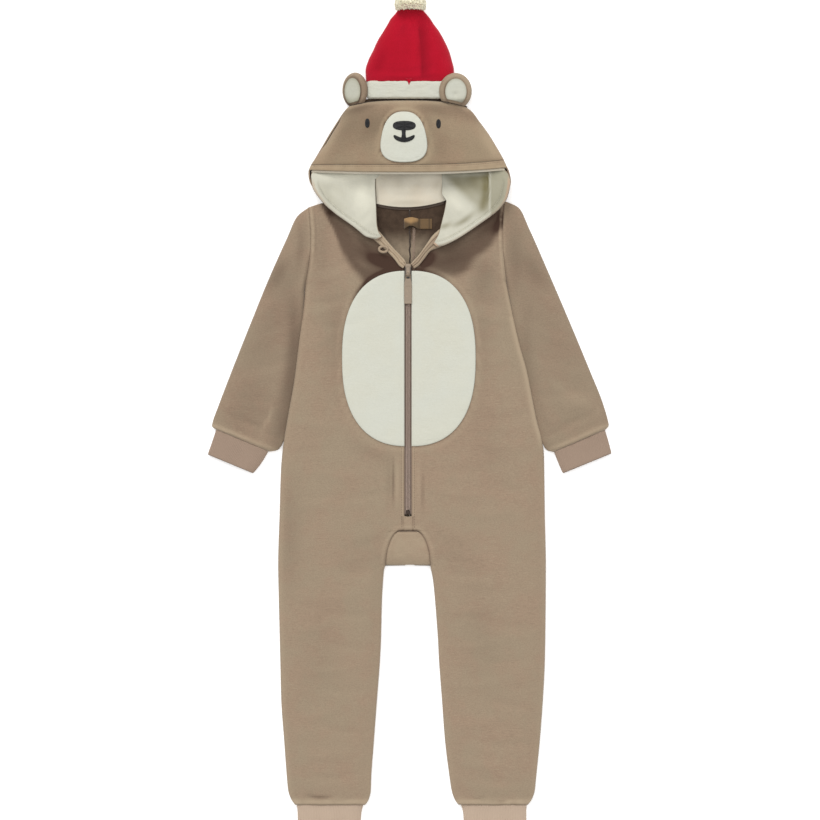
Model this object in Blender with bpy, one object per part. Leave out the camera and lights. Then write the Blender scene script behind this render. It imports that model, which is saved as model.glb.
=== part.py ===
"""A child's hooded bear all-in-one in fleece, laid flat on its back with the front up.

Run with: blender --background --python part.py

The tables and sizes are in millimetres, and MM turns them into metres. +X is towards the wearer's
left, +Y towards the hood, and +Z up from the surface that the garment lies on.
"""

import math
from collections import namedtuple

import bmesh
import bpy

MM = 0.001
SIGN = {"right": -1, "left": 1}

# Cloth thicknesses and the clearance that sewn pieces keep to each other
FLEECE = 2.0
PLUSH = 1.5
RIB = 1.8
PATCH = 1.2
THREAD = 0.8
GAP = 0.3

# The lie of the garment: how high its seams and folds stand, and how far in its edges round over
SEAM_RISE = 4.5
EDGE_REACH = 32.0
FOLD_POWER = 2.4
RISER = 1.7

# The zip
ZIP_HALF = 5.0
ZIP_TOP = 208.0
ZIP_END = -147.0
TAPE = 0.8
TAPE_REACH = 9.5
COIL_HALF = 2.2
COIL = 1.9
CENTRE_BACK = 2.5

# The gusset between the legs
GUSSET_TOP = -168.0
CROTCH = -215.6
CROTCH_REACH = 28.0
GUSSET_HALF = 31.0

# The belly patch and the bear's face
BELLY = {"x": 0.7, "y": 73.5, "half_width": 93.0, "half_height": 123.0, "power": 2.45}
FACE_X = -6.0
HOOD_HEIGHT = 34.0
HOOD_SEAM_REACH = 60.0

Height = namedtuple("Height", "y height")
Side = namedtuple("Side", "y x")
Ring = namedtuple("Ring", "outer_x outer_y inner_x inner_y height")
Wing = namedtuple("Wing", "inner_x inner_y inner_z outer_x outer_y outer_z")
Hood = namedtuple("Hood", "y right left rise")
HoodLine = namedtuple("HoodLine", "centre right left bend")
Band = namedtuple("Band", "y left right height")
Ear = namedtuple("Ear", "x y half_width half_height inner_x inner_y inner_half_width inner_half_height")

# How high the front stands over the surface, from the shoulders to the ankles
BODY_HEIGHT = [
    Height(310, 11), Height(170, 11), Height(90, 12.5), Height(0, 13.5), Height(-150, 14),
    Height(-260, 15), Height(-400, 14), Height(-500, 12.5), Height(-535, 11.5), Height(-549, 8.5),
]

# Side seams, each from the underarm to the ankle
SIDE_SEAM = {
    "right": [
        Side(176, 144), Side(155, 145.6), Side(99, 152.6), Side(43, 159.6), Side(-13, 169.4),
        Side(-52, 175.4), Side(-83, 178), Side(-147, 180), Side(-215, 182), Side(-265, 181),
        Side(-349, 179), Side(-405, 177.6), Side(-461, 173.6), Side(-517, 169.4),
        Side(-531, 168), Side(-543, 164), Side(-549, 158),
    ],
    "left": [
        Side(181, 137.5), Side(141, 145.6), Side(92, 156.8), Side(57, 166.6), Side(22, 173.6),
        Side(-13, 180.6), Side(-40, 187.5), Side(-62, 190.5), Side(-147, 191.8), Side(-215, 193.2),
        Side(-265, 193), Side(-349, 191.8), Side(-405, 189), Side(-461, 184.8), Side(-517, 179.2),
        Side(-531, 177.8), Side(-543, 174), Side(-549, 168),
    ],
}

# Inseams, from the crotch to the ankle
INSEAM = {
    "right": [
        Side(-215.6, 31), Side(-222, 33.5), Side(-237, 34.8), Side(-265, 36.4), Side(-321, 37.8),
        Side(-349, 39.2), Side(-405, 43.4), Side(-461, 47.6), Side(-517, 51.6), Side(-531, 52),
        Side(-543, 54.5), Side(-549, 60),
    ],
    "left": [
        Side(-215.6, 31), Side(-222, 32.2), Side(-237, 35), Side(-265, 37.8), Side(-321, 42),
        Side(-349, 43.4), Side(-405, 47.6), Side(-461, 51.8), Side(-517, 58.8), Side(-531, 61),
        Side(-543, 65), Side(-549, 71),
    ],
}

# Neck point, shoulder tip, underarm, and how far the armhole bows in between the last two
NECK_Y = 300
NECK_POINT = {"right": (46, NECK_Y), "left": (54, NECK_Y)}
SHOULDER_TIP = {"right": (139, 280), "left": (135, 289)}
UNDERARM = {"right": (144, 176), "left": (137.5, 181)}
ARMHOLE_BOW = {"right": 5.0, "left": 3.5}

# The front's neckline, from the neck point to the top of the zip
NECKLINE = {
    "right": [Side(300, 46), Side(256, 44), Side(208, 5)],
    "left": [Side(300, 54), Side(256, 52), Side(208, 5)],
}

# Sleeves, a row for each section from the armhole to the cuff
SLEEVE = {
    "right": [
        Ring(139, 280, 144, 176, 11), Ring(156, 271, 145.2, 163, 11.5), Ring(171, 239, 147.5, 140, 12),
        Ring(196, 183, 152.8, 98, 13), Ring(222, 119, 158.8, 50, 13), Ring(247, 56, 165.2, 11, 12.5),
        Ring(265, 9, 170.6, -20, 12), Ring(273.4, -14, 175, -42, 11.5), Ring(274.8, -21, 184, -55, 11),
        Ring(270, -25.5, 195, -57, 8.5),
    ],
    "left": [
        Ring(135, 289, 137.5, 181, 11), Ring(157, 280, 142.8, 157, 11.5), Ring(171, 253, 146.2, 138.5, 12),
        Ring(196, 196, 156, 95, 13), Ring(226, 126, 166.6, 57, 13), Ring(253, 61, 174.6, 17, 12.5),
        Ring(272, 14, 181.4, -16, 12), Ring(279.6, -11, 187.7, -42, 11.5), Ring(281.4, -20, 196.5, -55.5, 11),
        Ring(277, -26, 205, -57.5, 8.5),
    ],
}
SLEEVE_CUFF = {
    "right": [Ring(269.3, -26.8, 195.8, -57.3, 8.5), Ring(275, -44, 206, -74, 8), Ring(281, -61, 217, -87.5, 8)],
    "left": [Ring(276.5, -27.5, 204.8, -58.2, 8.5), Ring(281.5, -44, 211, -74, 8), Ring(285.5, -59.5, 217, -87.5, 8)],
}
LEG_CUFF = {
    "right": [Ring(156.5, -549.5, 61.5, -549.5, 8.5), Ring(155, -562, 65, -562, 8), Ring(154.5, -588, 67, -588, 8)],
    "left": [Ring(167, -549.5, 73, -549.5, 8.5), Ring(166, -562, 77, -562, 8), Ring(166, -588, 78.5, -588, 8)],
}

# The hood's outline by its height over the surface, from the head seam to the shoulders
HOOD = [
    Hood(436, 60, 60, 6), Hood(427, 82, 79, 6), Hood(419, 90, 90, 6.5), Hood(407, 98, 99, 7),
    Hood(388, 110, 113, 8), Hood(369, 121, 124.5, 10), Hood(352, 131, 134, 12.8),
    Hood(343, 136.5, 138, 14.5), Hood(334, 139.5, 142, 15.8), Hood(322, 138, 144, 18),
    Hood(308, 130, 141.5, 20), Hood(294, 120, 133.5, 21),
]
# Lines across the hood: where each stands at the centre and where it meets the outline at each side
HEAD_SEAM = HoodLine(435, 427, 425, 3)
BRIM_SEAM = HoodLine(344.5, 345, 352, 2.5)
BRIM_EDGE = HoodLine(334, 337.5, 341, 2.5)
BACK_NECK = {"x": 3.5, "y": 281.0, "half_width": 50.0, "rise": 9.5}

# The hood's sides, which lie over the shoulders and end at the zip, from the brim to the tip
WING = {
    "right": [
        Wing(46, 349, 2.5, 124, 349, 7.5), Wing(46, 338, 2.5, 130.5, 338, 10.5),
        Wing(46, 330, 2.6, 135.8, 329, 17.4), Wing(46, 318, 3, 134, 314, 20),
        Wing(45.5, 300, 8.5, 121, 293.5, 21.8), Wing(44.8, 284, 11.8, 104, 277.5, 22.5),
        Wing(44, 262, 12.4, 73, 258, 22), Wing(43.4, 247, 13.4, 50, 243.5, 20.5),
        Wing(32, 238.5, 14, 33, 232, 18), Wing(16, 229, 14.8, 15, 224, 16),
    ],
    "left": [
        Wing(54.6, 349, 2.5, 126, 349, 7.5), Wing(54.6, 340, 2.5, 131, 341, 10.5),
        Wing(54.6, 332, 2.6, 140.5, 331, 17.4), Wing(54.6, 320, 3, 143.5, 320, 20),
        Wing(54.6, 302, 8.5, 138.5, 301, 21.8), Wing(54, 286, 11.8, 127, 287.5, 22.5),
        Wing(51, 264, 12.4, 97, 265.5, 22), Wing(46.5, 247, 13.4, 66, 246.5, 20.5),
        Wing(42, 236, 14, 44, 230, 18), Wing(27, 226, 14.8, 26, 221, 16),
    ],
}

HAT = [
    Band(461.4, -58.8, 64.4, 15), Band(477, -58.8, 64.4, 16), Band(491, -54.6, 61.6, 16.5),
    Band(505, -49, 57.4, 16.5), Band(519, -43.4, 50.4, 16), Band(533, -35, 42, 15),
    Band(543, -28, 34, 13.5), Band(549.3, -19, 24, 11),
]
HAT_BAND = [
    Band(437.6, -55, 60, 9), Band(440, -58, 63.5, 12.5), Band(449.5, -59.5, 65, 13.2),
    Band(458.5, -58.5, 64.5, 12.8), Band(461, -56, 62, 10),
]
POMPOM = {"x": 3.5, "y": 569.3, "radius": 21.7, "half_height": 18.0}

Finish = namedtuple("Finish", "red green blue roughness metallic")
TAN = Finish(0.36, 0.27, 0.19, 0.95, 0)
TAN_RIB = Finish(0.38, 0.28, 0.20, 0.9, 0)
CREAM = Finish(0.68, 0.66, 0.55, 0.95, 0)
RED = Finish(0.43, 0.01, 0.03, 0.95, 0)
DARK_TAPE = Finish(0.16, 0.10, 0.07, 0.9, 0)
ZIP_TAN = Finish(0.26, 0.21, 0.17, 0.7, 0)
PAINTED = Finish(0.32, 0.23, 0.17, 0.45, 0.2)
BLACK = Finish(0.01, 0.01, 0.012, 0.7, 0)
GOLD = Finish(0.30, 0.18, 0.08, 0.6, 0)


def clear_scene():
    for thing in list(bpy.data.objects):
        bpy.data.objects.remove(thing)


def clamp(value, low=0.0, high=1.0):
    return min(max(value, low), high)


def mix(start, end, share):
    return start + (end - start) * share


def smooth(share):
    share = clamp(share)
    return share * share * (3 - 2 * share)


def read(table, at, column=-1):
    """The value of a column, on straight lines between a table's rows, whose first column is ordered."""
    rows = table if table[0][0] < table[-1][0] else table[::-1]
    if at <= rows[0][0]:
        return rows[0][column]
    for low, high in zip(rows, rows[1:]):
        if at <= high[0]:
            return mix(low[column], high[column], (at - low[0]) / (high[0] - low[0]))
    return rows[-1][column]


def rounded(distance, reach):
    """0 at a folded edge, and up like a quarter of an oval to 1 at its reach."""
    k = 1 - clamp(distance / reach)
    return math.sqrt(1 - k**FOLD_POWER)


def curl(distance, rise):
    """How far the underside lifts near a seam: all of rise at the seam, 0 at that distance in."""
    k = 1 - clamp(distance / rise)
    return rise * (1 - math.sqrt(1 - k * k))


def above_seam(height, seam, clear=0.9 * GAP):
    """A face over a seam: its edge stands clear of the seam, and its wall rises straight from there."""
    return seam + clear if height < seam + 1e-3 else max(height, seam + RISER)


def below_seam(height, seam, clear=0.9 * GAP):
    return seam - clear if height > seam - 1e-3 else min(height, seam - RISER)


# ---------------------------------------------------------------- shared builders

def material(finish):
    name = "finish_" + "_".join(f"{round(value * 100):02d}" for value in finish)
    found = bpy.data.materials.get(name)
    if found:
        return found
    made = bpy.data.materials.new(name)
    made.use_nodes = True
    shader = made.node_tree.nodes["Principled BSDF"]
    shader.inputs["Base Color"].default_value = (finish.red, finish.green, finish.blue, 1)
    shader.inputs["Roughness"].default_value = finish.roughness
    shader.inputs["Metallic"].default_value = finish.metallic
    return made


def finished(name, bm, finish, wall=0.0, behind=0.0):
    """An object from a bmesh, with a wall that starts behind its faces and goes inwards if it is cloth."""
    mesh = bpy.data.meshes.new(name)
    bm.to_mesh(mesh)
    bm.free()
    mesh.materials.append(material(finish))
    thing = bpy.data.objects.new(name, mesh)
    bpy.context.scene.collection.objects.link(thing)
    if wall:
        solid = thing.modifiers.new("wall", "SOLIDIFY")
        solid.thickness = wall * MM
        solid.offset = -1 - 2 * behind / wall
    return thing


def cloth(name, columns, rows, place, finish, wall, closed=False, flip=False, behind=0.0):
    """A grid of columns by rows stations, each moved to place(column, row), with its wall behind it.

    The face that shows is the one from which columns run to the right and rows upwards, and flip
    shows the other. A closed sheet has its first column on its last, and its normals point outwards.
    behind is how far the wall lies behind those places.
    """
    bm = bmesh.new()
    across, up = len(columns) - 1, len(rows) - 1
    bmesh.ops.create_grid(bm, x_segments=across, y_segments=up, size=0.5)
    for vert in bm.verts:
        column = columns[round((vert.co.x + 0.5) * across)]
        row = rows[round((vert.co.y + 0.5) * up)]
        vert.co = [value * MM for value in place(column, row)]
    if closed:
        bmesh.ops.remove_doubles(bm, verts=bm.verts, dist=1e-6)
        bmesh.ops.recalc_face_normals(bm, faces=bm.faces)
    if flip:
        bmesh.ops.reverse_faces(bm, faces=bm.faces)
    return finished(name, bm, finish, wall, behind)


def steps(count, start=0.0, end=1.0):
    return [mix(start, end, index / count) for index in range(count + 1)]


# ---------------------------------------------------------------- the lie of the body

def seam_x(side, y):
    """The half-width of the body at a height: the armhole above the underarm, the side seam below."""
    under_x, under_y = UNDERARM[side]
    if y <= under_y:
        return read(SIDE_SEAM[side], y)
    tip_x, tip_y = SHOULDER_TIP[side]
    share = clamp((y - under_y) / (tip_y - under_y))
    return mix(under_x, tip_x, share) - ARMHOLE_BOW[side] * math.sin(math.pi * share)


def shoulder_y(side, x):
    neck, tip = NECK_POINT[side], SHOULDER_TIP[side]
    return mix(neck[1], tip[1], (x - neck[0]) / (tip[0] - neck[0]))


def gusset_half(y):
    """The gusset is an arch: a quarter oval from its flat top out to the crotch."""
    share = clamp((GUSSET_TOP - y) / (GUSSET_TOP - CROTCH))
    return mix(12.6, GUSSET_HALF, math.sqrt(1 - (1 - share) ** 2))


def inseam_x(side, y):
    return read(INSEAM[side], min(y, CROTCH))


def closing(y, line, reach):
    """1 past a line, falling to 0 as y climbs away from it: the corner where an edge turns."""
    return 1 - rounded(y - line, reach)


def front_top(side, x, y):
    """The height of the front's outer face at x from the centre, which is positive on both sides."""
    at_side = closing(y, UNDERARM[side][1], EDGE_REACH)
    at_crotch = closing(y, CROTCH, CROTCH_REACH)
    share = 1 - at_side * (1 - rounded(seam_x(side, y) - x, EDGE_REACH))
    share *= 1 - at_crotch * (1 - rounded(x - inseam_x(side, y), EDGE_REACH))
    share *= rounded(shoulder_y(side, x) - y, EDGE_REACH)
    return SEAM_RISE + (read(BODY_HEIGHT, y) - SEAM_RISE) * share


def back_low(side, x, y):
    """The height of the back's outer face, which is flat but for its curled seams."""
    at_side = closing(y, UNDERARM[side][1], SEAM_RISE)
    at_crotch = closing(y, CROTCH, SEAM_RISE)
    lift = at_side * curl(seam_x(side, y) - x, SEAM_RISE)
    lift = max(lift, at_crotch * curl(x - inseam_x(side, y), SEAM_RISE))
    return max(lift, curl(shoulder_y(side, x) - y, SEAM_RISE))


# Stations across a panel: from 1 up, millimetres (less 1) in from its near edge; between 0 and 1, a
# share of its width; below 0, millimetres back from its far edge
FAR = -1e-9
EDGE = 0.02
FRONT_COLUMNS = [1, 1 + EDGE, 3, 12, 31, -30, -12, -3, -EDGE, FAR]
NARROWEST = 0.48  # the most of a panel's width that a station in millimetres may take


def from_edges(near, far, station):
    """The place between two edges that a station names."""
    width = far - near
    if station < 0:
        return far + max(station, -NARROWEST * width)
    if station >= 1:
        return near + min(station - 1, NARROWEST * width)
    return mix(near, far, station)



SHOULDER_FALLS = [0, EDGE, 1.2, 4.5]
GUSSET_ROWS = [-172.5, -181, -194, -207]


def body_rows(side):
    """(height at the centre, height at the side) for each row, from the shoulder to the ankle."""
    tip, under = SHOULDER_TIP[side][1], UNDERARM[side][1]
    rows = [(NECK_Y - fall, tip - fall) for fall in SHOULDER_FALLS]
    rows += [(287, tip - 13), (271, tip - 30), (256, tip - 48), (231, tip - 66), (ZIP_TOP, under + 20)]
    rows += [(190, under + 4), (185, under + 1), (182, under), (160, 154)]
    level = [125, 80, 25, -35, -80, ZIP_END, ZIP_END - 1, GUSSET_TOP + GAP, GUSSET_TOP]
    level += GUSSET_ROWS + [CROTCH + EDGE, CROTCH]
    level += [-224, -245, -290, -360, -440, -517, -535, -545, -549]
    return rows + [(y, y) for y in level]


def back_neck_y(x):
    return BACK_NECK["y"] + BACK_NECK["rise"] * ((x - BACK_NECK["x"]) / BACK_NECK["half_width"]) ** 2


def front_inner(side, y):
    """Where the front ends at the centre: neckline, zip, centre seam, gusset and inseam in turn."""
    if y > ZIP_TOP:
        return read(NECKLINE[side], y)
    if y >= ZIP_END:
        return ZIP_HALF
    if y > GUSSET_TOP:
        return GAP / 2
    if y > CROTCH:
        return gusset_half(y) + GAP
    return inseam_x(side, y)


def back_inner(side, y):
    if y > CROTCH:
        return SIGN[side] * CENTRE_BACK + GAP / 2
    return inseam_x(side, y)


def body_side(side, y):
    """The half-width that a body panel is cut to: clear of the sleeve along the armhole."""
    return seam_x(side, y) - (GAP if y > UNDERARM[side][1] else 0)


def panel_y(side, row, x, share):
    """The first rows lie along the shoulder seam, and the others run straight between their ends."""
    fall = NECK_Y - row[0]
    if fall <= SHOULDER_FALLS[-1]:
        return shoulder_y(side, x) - fall
    return mix(row[0], row[1], clamp(share))


def make_front(side):
    def place(column, row):
        near, far = front_inner(side, row[0]), body_side(side, row[1])
        x = from_edges(near, far, column)
        y = panel_y(side, row, x, (x - near) / (far - near))
        return SIGN[side] * x, y, above_seam(front_top(side, x, y), SEAM_RISE)

    cloth(f"front_{side}", FRONT_COLUMNS, body_rows(side), place, TAN, FLEECE, flip=side == "left")


def make_back(side):
    neck = (NECK_POINT[side][0] - back_inner(side, 0)) / (SHOULDER_TIP[side][0] - back_inner(side, 0))
    columns = [1, 1 + EDGE, 1.6, 3.2, 5.5, neck / 2, neck, -SEAM_RISE, -2.2, -0.6, -EDGE, FAR]
    rows = body_rows(side)

    def place(column, row):
        near, far = back_inner(side, row[0]), body_side(side, row[1])
        x = from_edges(near, far, column)
        y = panel_y(side, row, x, (x - near) / (far - near))
        drop = 0.6 * rows.index(row)
        if abs(x) < NECK_POINT[side][0]:
            y = min(y, back_neck_y(SIGN[side] * x) - drop)
        return SIGN[side] * x, y, below_seam(back_low(side, x, y), SEAM_RISE)

    cloth(f"back_{side}", columns, rows, place, TAN, FLEECE, flip=side == "right")


def make_gusset():
    rows = [GUSSET_TOP - GAP] + GUSSET_ROWS + [CROTCH + EDGE, CROTCH]

    def place(column, y):
        x = column * (gusset_half(y if y < rows[0] else GUSSET_TOP) - GAP / 2)
        side = "left" if x > 0 else "right"
        return x, y, above_seam(front_top(side, abs(x), y), SEAM_RISE)

    cloth("gusset", steps(8, -1, 1), rows[::-1], place, TAN, FLEECE)


# ---------------------------------------------------------------- tubes: sleeves, cuffs, hat

def loop_points(width, height, reach):
    """Points round a flat tube, from its outer edge over the top to its inner edge and back below."""
    ends = [0, 1.5, 7, min(22, 0.4 * width)]
    over = ends + [width / 2] + [width - place for place in reversed(ends)]
    points = [
        (x, SEAM_RISE + (height - SEAM_RISE) * rounded(x, reach) * rounded(width - x, reach)) for x in over
    ]
    for x in (width - 1.1, width - SEAM_RISE, SEAM_RISE, 1.1):
        points.append((x, curl(min(x, width - x), SEAM_RISE)))
    return points


def tube(name, rings, sign, finish, wall, reach=EDGE_REACH, bows=()):
    """A flat tube of cloth through its rings, open at both ends. A bow pushes a ring's middle inwards."""
    def place(column, row):
        ring = rings[row]
        across = (ring.inner_x - ring.outer_x, ring.inner_y - ring.outer_y)
        width = math.hypot(*across)
        along, z = loop_points(width, ring.height, reach)[column]
        share = along / width
        bow = bows[row] * math.sin(math.pi * share) if row < len(bows) else 0
        return sign * (ring.outer_x + across[0] * share - bow), ring.outer_y + across[1] * share, z

    count = len(loop_points(100, 10, reach))
    columns = list(range(count)) + [0]
    cloth(name, columns, list(range(len(rings))), place, finish, wall, closed=True)


def make_sleeve(side):
    bow = ARMHOLE_BOW[side]
    rings = []
    for index, ring in enumerate(SLEEVE[side]):
        clear = 2 * GAP if index else GAP
        rings.append(ring._replace(inner_x=ring.inner_x + clear, outer_x=ring.outer_x + clear * (index == 0)))
    tube(f"sleeve_{side}", rings, SIGN[side], TAN, FLEECE, bows=(bow, 0.5 * bow, 0.2 * bow))


# ---------------------------------------------------------------- patches on the body

def make_belly(side):
    power = BELLY["power"]
    turns = (0.998, 0.98, 0.93, 0.84, 0.7, 0.5, 0.25)
    rows = [-turn for turn in turns] + [0] + list(reversed(turns))

    def place(column, row):
        y = BELLY["y"] + row * BELLY["half_height"]
        far = BELLY["half_width"] * (1 - abs(row) ** power) ** (1 / power) + SIGN[side] * BELLY["x"]
        x = mix(ZIP_HALF, far, column)
        return SIGN[side] * x, y, front_top(side, x, y) + GAP + PATCH

    cloth(f"belly_{side}", steps(4), rows, place, CREAM, PATCH, flip=side == "right")


def make_neck_facing(side):
    """The tan strip that finishes the front's neckline, from under the hood down to the zip."""
    top, bottom = (43.5, 254), (5.5, 209.5)
    outer_top, outer_bottom = (36, 225), (12, 201)
    if side == "left":
        top, outer_top = (51, 254), (42, 226)

    def place(column, row):
        inner = [mix(a, b, row) for a, b in zip(top, bottom)]
        outer = [mix(a, b, row) for a, b in zip(outer_top, outer_bottom)]
        x, y = (mix(a, b, column) for a, b in zip(inner, outer))
        return SIGN[side] * x, y, front_top(side, x, y) + GAP + PATCH

    cloth(f"neck_facing_{side}", steps(3), steps(5), place, TAN_RIB, PATCH, flip=side == "left")


def make_neck_loop():
    """A small fabric loop on the wearer's right, at the end of the hood's edge."""
    centre, across, along, radius = (-35, 222.5, 14.4), 7.0, 4.2, 1.3

    def place(column, row):
        turn, round_tube = 2 * math.pi * row, 2 * math.pi * column
        reach = radius * math.cos(round_tube)
        return (
            centre[0] + (across + reach) * math.cos(turn),
            centre[1] + (along + reach) * math.sin(turn),
            centre[2] + radius * math.sin(round_tube),
        )

    cloth("neck_loop", steps(6), steps(12), place, TAN_RIB, 0, closed=True)


# ---------------------------------------------------------------- the hood

def hood_half(x, y):
    return read(HOOD, y, 1 if x < 0 else 2)


def hood_line(line, share):
    """The height of a line across the hood, where share runs from -1 at its right side to 1 at its left."""
    end = line.right if share < 0 else line.left
    return end + (line.centre - end) * (1 - abs(share) ** line.bend)


def head_seam_y(x):
    end = HEAD_SEAM.right if x < 0 else HEAD_SEAM.left
    return hood_line(HEAD_SEAM, clamp(x / hood_half(x, end), -1, 1))


def hood_top(x, y):
    """The height of the hood's outer face, which rises from its sides and the head seam to the brim."""
    share = clamp(abs(x) / hood_half(x, y))
    rise = read(HOOD, y, 3)
    crown = (1 - share**2.6) ** 0.56 * rounded(head_seam_y(x) - y, HOOD_SEAM_REACH)
    return rise + (HOOD_HEIGHT - rise) * crown


def hood_point(share, first, last, down, inset=0.0):
    """A point in plan on the hood, at a share from side to side and a share down between two lines."""
    y = mix(hood_line(first, share), hood_line(last, share), down)
    side_y = mix(hood_line(first, math.copysign(1, share)), hood_line(last, math.copysign(1, share)), down)
    return share * (hood_half(share, side_y) - inset), y


HOOD_SHARES = [-1, -0.9995, -0.985, -0.92, -0.78, -0.45, 0, 0.45, 0.78, 0.92, 0.985, 0.9995, 1]


def make_hood_face():
    def place(share, down):
        x, y = hood_point(share, HEAD_SEAM, BRIM_SEAM, down)
        return x, y, above_seam(hood_top(x, y), read(HOOD, y, 3), GAP)

    cloth("hood_face", HOOD_SHARES, [1, 0.75, 0.5, 0.3, 0.15, 0.05, 4e-4, 0], place, TAN, FLEECE)


def make_hood_brim():
    def place(share, down):
        x, y = hood_point(share, BRIM_SEAM, BRIM_EDGE, down)
        return x, y - 1.5 * GAP, above_seam(hood_top(x, y), read(HOOD, y, 3), GAP)

    cloth("hood_brim", HOOD_SHARES, [1, 0.5, 0], place, TAN, FLEECE + 1)


def make_hood_back():
    """The outer hood behind the head: flat on the surface, its sides curled up to meet the face."""
    def shoulder_line(x):
        side = "right" if x < 0 else "left"
        if abs(x) < NECK_POINT[side][0]:
            return back_neck_y(x) + 0.8
        return shoulder_y(side, abs(x)) + 1.2

    def edge_distance(x, y):
        return max(min(hood_half(x, y) - abs(x), head_seam_y(x) - y), 0)

    def place(station, row):
        side_y = mix(427 if station < 0 else 425, 294, row)
        x = station * hood_half(station, side_y)
        low = shoulder_line(x) if abs(x) < 118 else 294
        y = mix(head_seam_y(x), mix(low, 294, abs(station) ** 6), row)
        rise = read(HOOD, y, 3)
        return x, y, below_seam(curl(edge_distance(x, y), rise), rise, GAP)

    stations = [-1, -0.9996, -0.985, -0.95, -0.9, -0.7, -0.38, -0.2, 0]
    stations += [-station for station in reversed(stations[:-1])]
    rows = [0, 4e-4, 0.01, 0.04, 0.12, 0.3, 0.5, 0.67, 0.84, 1]
    cloth("hood_back", stations, rows, place, TAN, FLEECE)


def wing_point(side, row, share):
    inner_x, inner_y, inner_z, outer_x, outer_y, outer_z = WING[side][row]
    x, y = mix(inner_x, outer_x, share), mix(inner_y, outer_y, share)
    z = mix(inner_z, outer_z, share) + 1.2 * math.sin(math.pi * share)
    return SIGN[side] * x, y, z


def make_hood_side(side):
    """The hood's side over the shoulder: fleece below, and its lining on it, which shows."""
    rows = list(range(len(WING[side])))
    for name, stations, finish, wall, behind in (
        ("hood_side", [0, 0.25, 0.5, 0.75, 1], TAN, FLEECE, 0),
        ("hood_lining_side", [0, 0.25, 0.5, 0.75, 0.985], CREAM, PLUSH, FLEECE + GAP),
    ):
        cloth(
            f"{name}_{side}", stations, rows, lambda share, row: wing_point(side, row, share),
            finish, wall, flip=side == "right", behind=behind,
        )


LINING_BACK = [
    Band(424, -68, 66, 0), Band(405, -88, 89, 0), Band(380, -103, 105, 0), Band(357, -114, 116, 0),
    Band(352.5, -116, 118, 0), Band(350, -45, 53.6, 0.8), Band(330, -45, 53.6, 3.5),
    Band(310, -45, 53.6, 4.5), Band(296, -44.6, 53.4, 3.5), Band(291, -44.4, 53.4, 2),
]


def make_lining_back():
    """The lining behind the head, which swells a little and ends at the back neck."""
    def place(share, row):
        band = LINING_BACK[row]
        x = mix(band.left, band.right, share)
        sag = clamp((row - 4) / 5)
        y = mix(band.y, back_neck_y(x) + 1.5, sag) if sag > 0.5 else band.y
        return x, y, FLEECE + GAP + PLUSH + band.height * math.sin(math.pi * share)

    rows = list(range(len(LINING_BACK)))
    cloth("hood_lining_back", steps(6), rows[::-1], place, CREAM, PLUSH)


def make_lining_top():
    """The lining under the face panel and the brim, which shows from the feet."""
    def place(share, down):
        x, y = hood_point(share, HEAD_SEAM, BRIM_EDGE, mix(0.12, 0.97, down))
        return x, y, hood_top(x, y)

    shares = [-0.96, -0.92, -0.78, -0.45, 0, 0.45, 0.78, 0.92, 0.96]
    rows = [1, 0.7, 0.4, 0.15, 0]
    cloth("hood_lining_top", shares, rows, place, CREAM, PLUSH, behind=FLEECE + 1 + 3 * GAP)


def make_neck_tape():
    def place(share, down):
        x = mix(-43, 51, share)
        return x, back_neck_y(x) - mix(0.6, 7, down), FLEECE + GAP + 1

    cloth("neck_tape", steps(6), [1, 0], place, DARK_TAPE, 1)


def make_neck_label():
    """A bare woven label: a folded loop beside a flat tab."""
    def place(share, up):
        x = mix(-5.6, 36, share)
        loop = math.sin(math.pi * clamp((x + 5.6) / 20))
        return x, mix(254, 270, up) + 2 * loop, FLEECE + GAP + 1 + 5 * loop

    cloth("neck_label", steps(12), [0, 1], place, GOLD, 1)


# ---------------------------------------------------------------- ears, hat and face

EARS = {
    "right": Ear(-71.4, 449.8, 19.6, 25.2, -76.0, 447, 11.8, 18.5),
    "left": Ear(64.4, 447.6, 23.8, 25.6, 66.5, 446.6, 14.6, 18),
}
EAR_THICK = 7.0


def ear_under(side, x, y):
    """The height of an ear's underside, which climbs from the head seam over the hat's band."""
    ear = EARS[side]
    up = smooth((y - ear.y + ear.half_height) / 15)
    inward = smooth((ear.half_width - SIGN[side] * (x - ear.x)) / (2 * ear.half_width))
    return mix(4, 14.2 if side == "left" else 4 + 6.4 * inward**2, up) - (2 if side == "left" else 0) * (1 - up)


def ear_top(side, x, y):
    """The height of an ear's face, dished inside a full rim."""
    ear = EARS[side]
    reach = math.hypot((x - ear.x) / ear.half_width, (y - ear.y) / ear.half_height)
    dish = 2.0 * (1 - clamp(reach / 0.8) ** 2)
    return ear_under(side, x, y) + EAR_THICK * math.sqrt(max(1 - clamp(reach) ** 4, 0)) - dish


def ear_outline(ear, turn, reach, clear=0.6):
    x = ear.x + ear.half_width * reach * math.cos(turn)
    y = ear.y + ear.half_height * reach * math.sin(turn)
    return x, max(y, head_seam_y(x) + clear)


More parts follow.
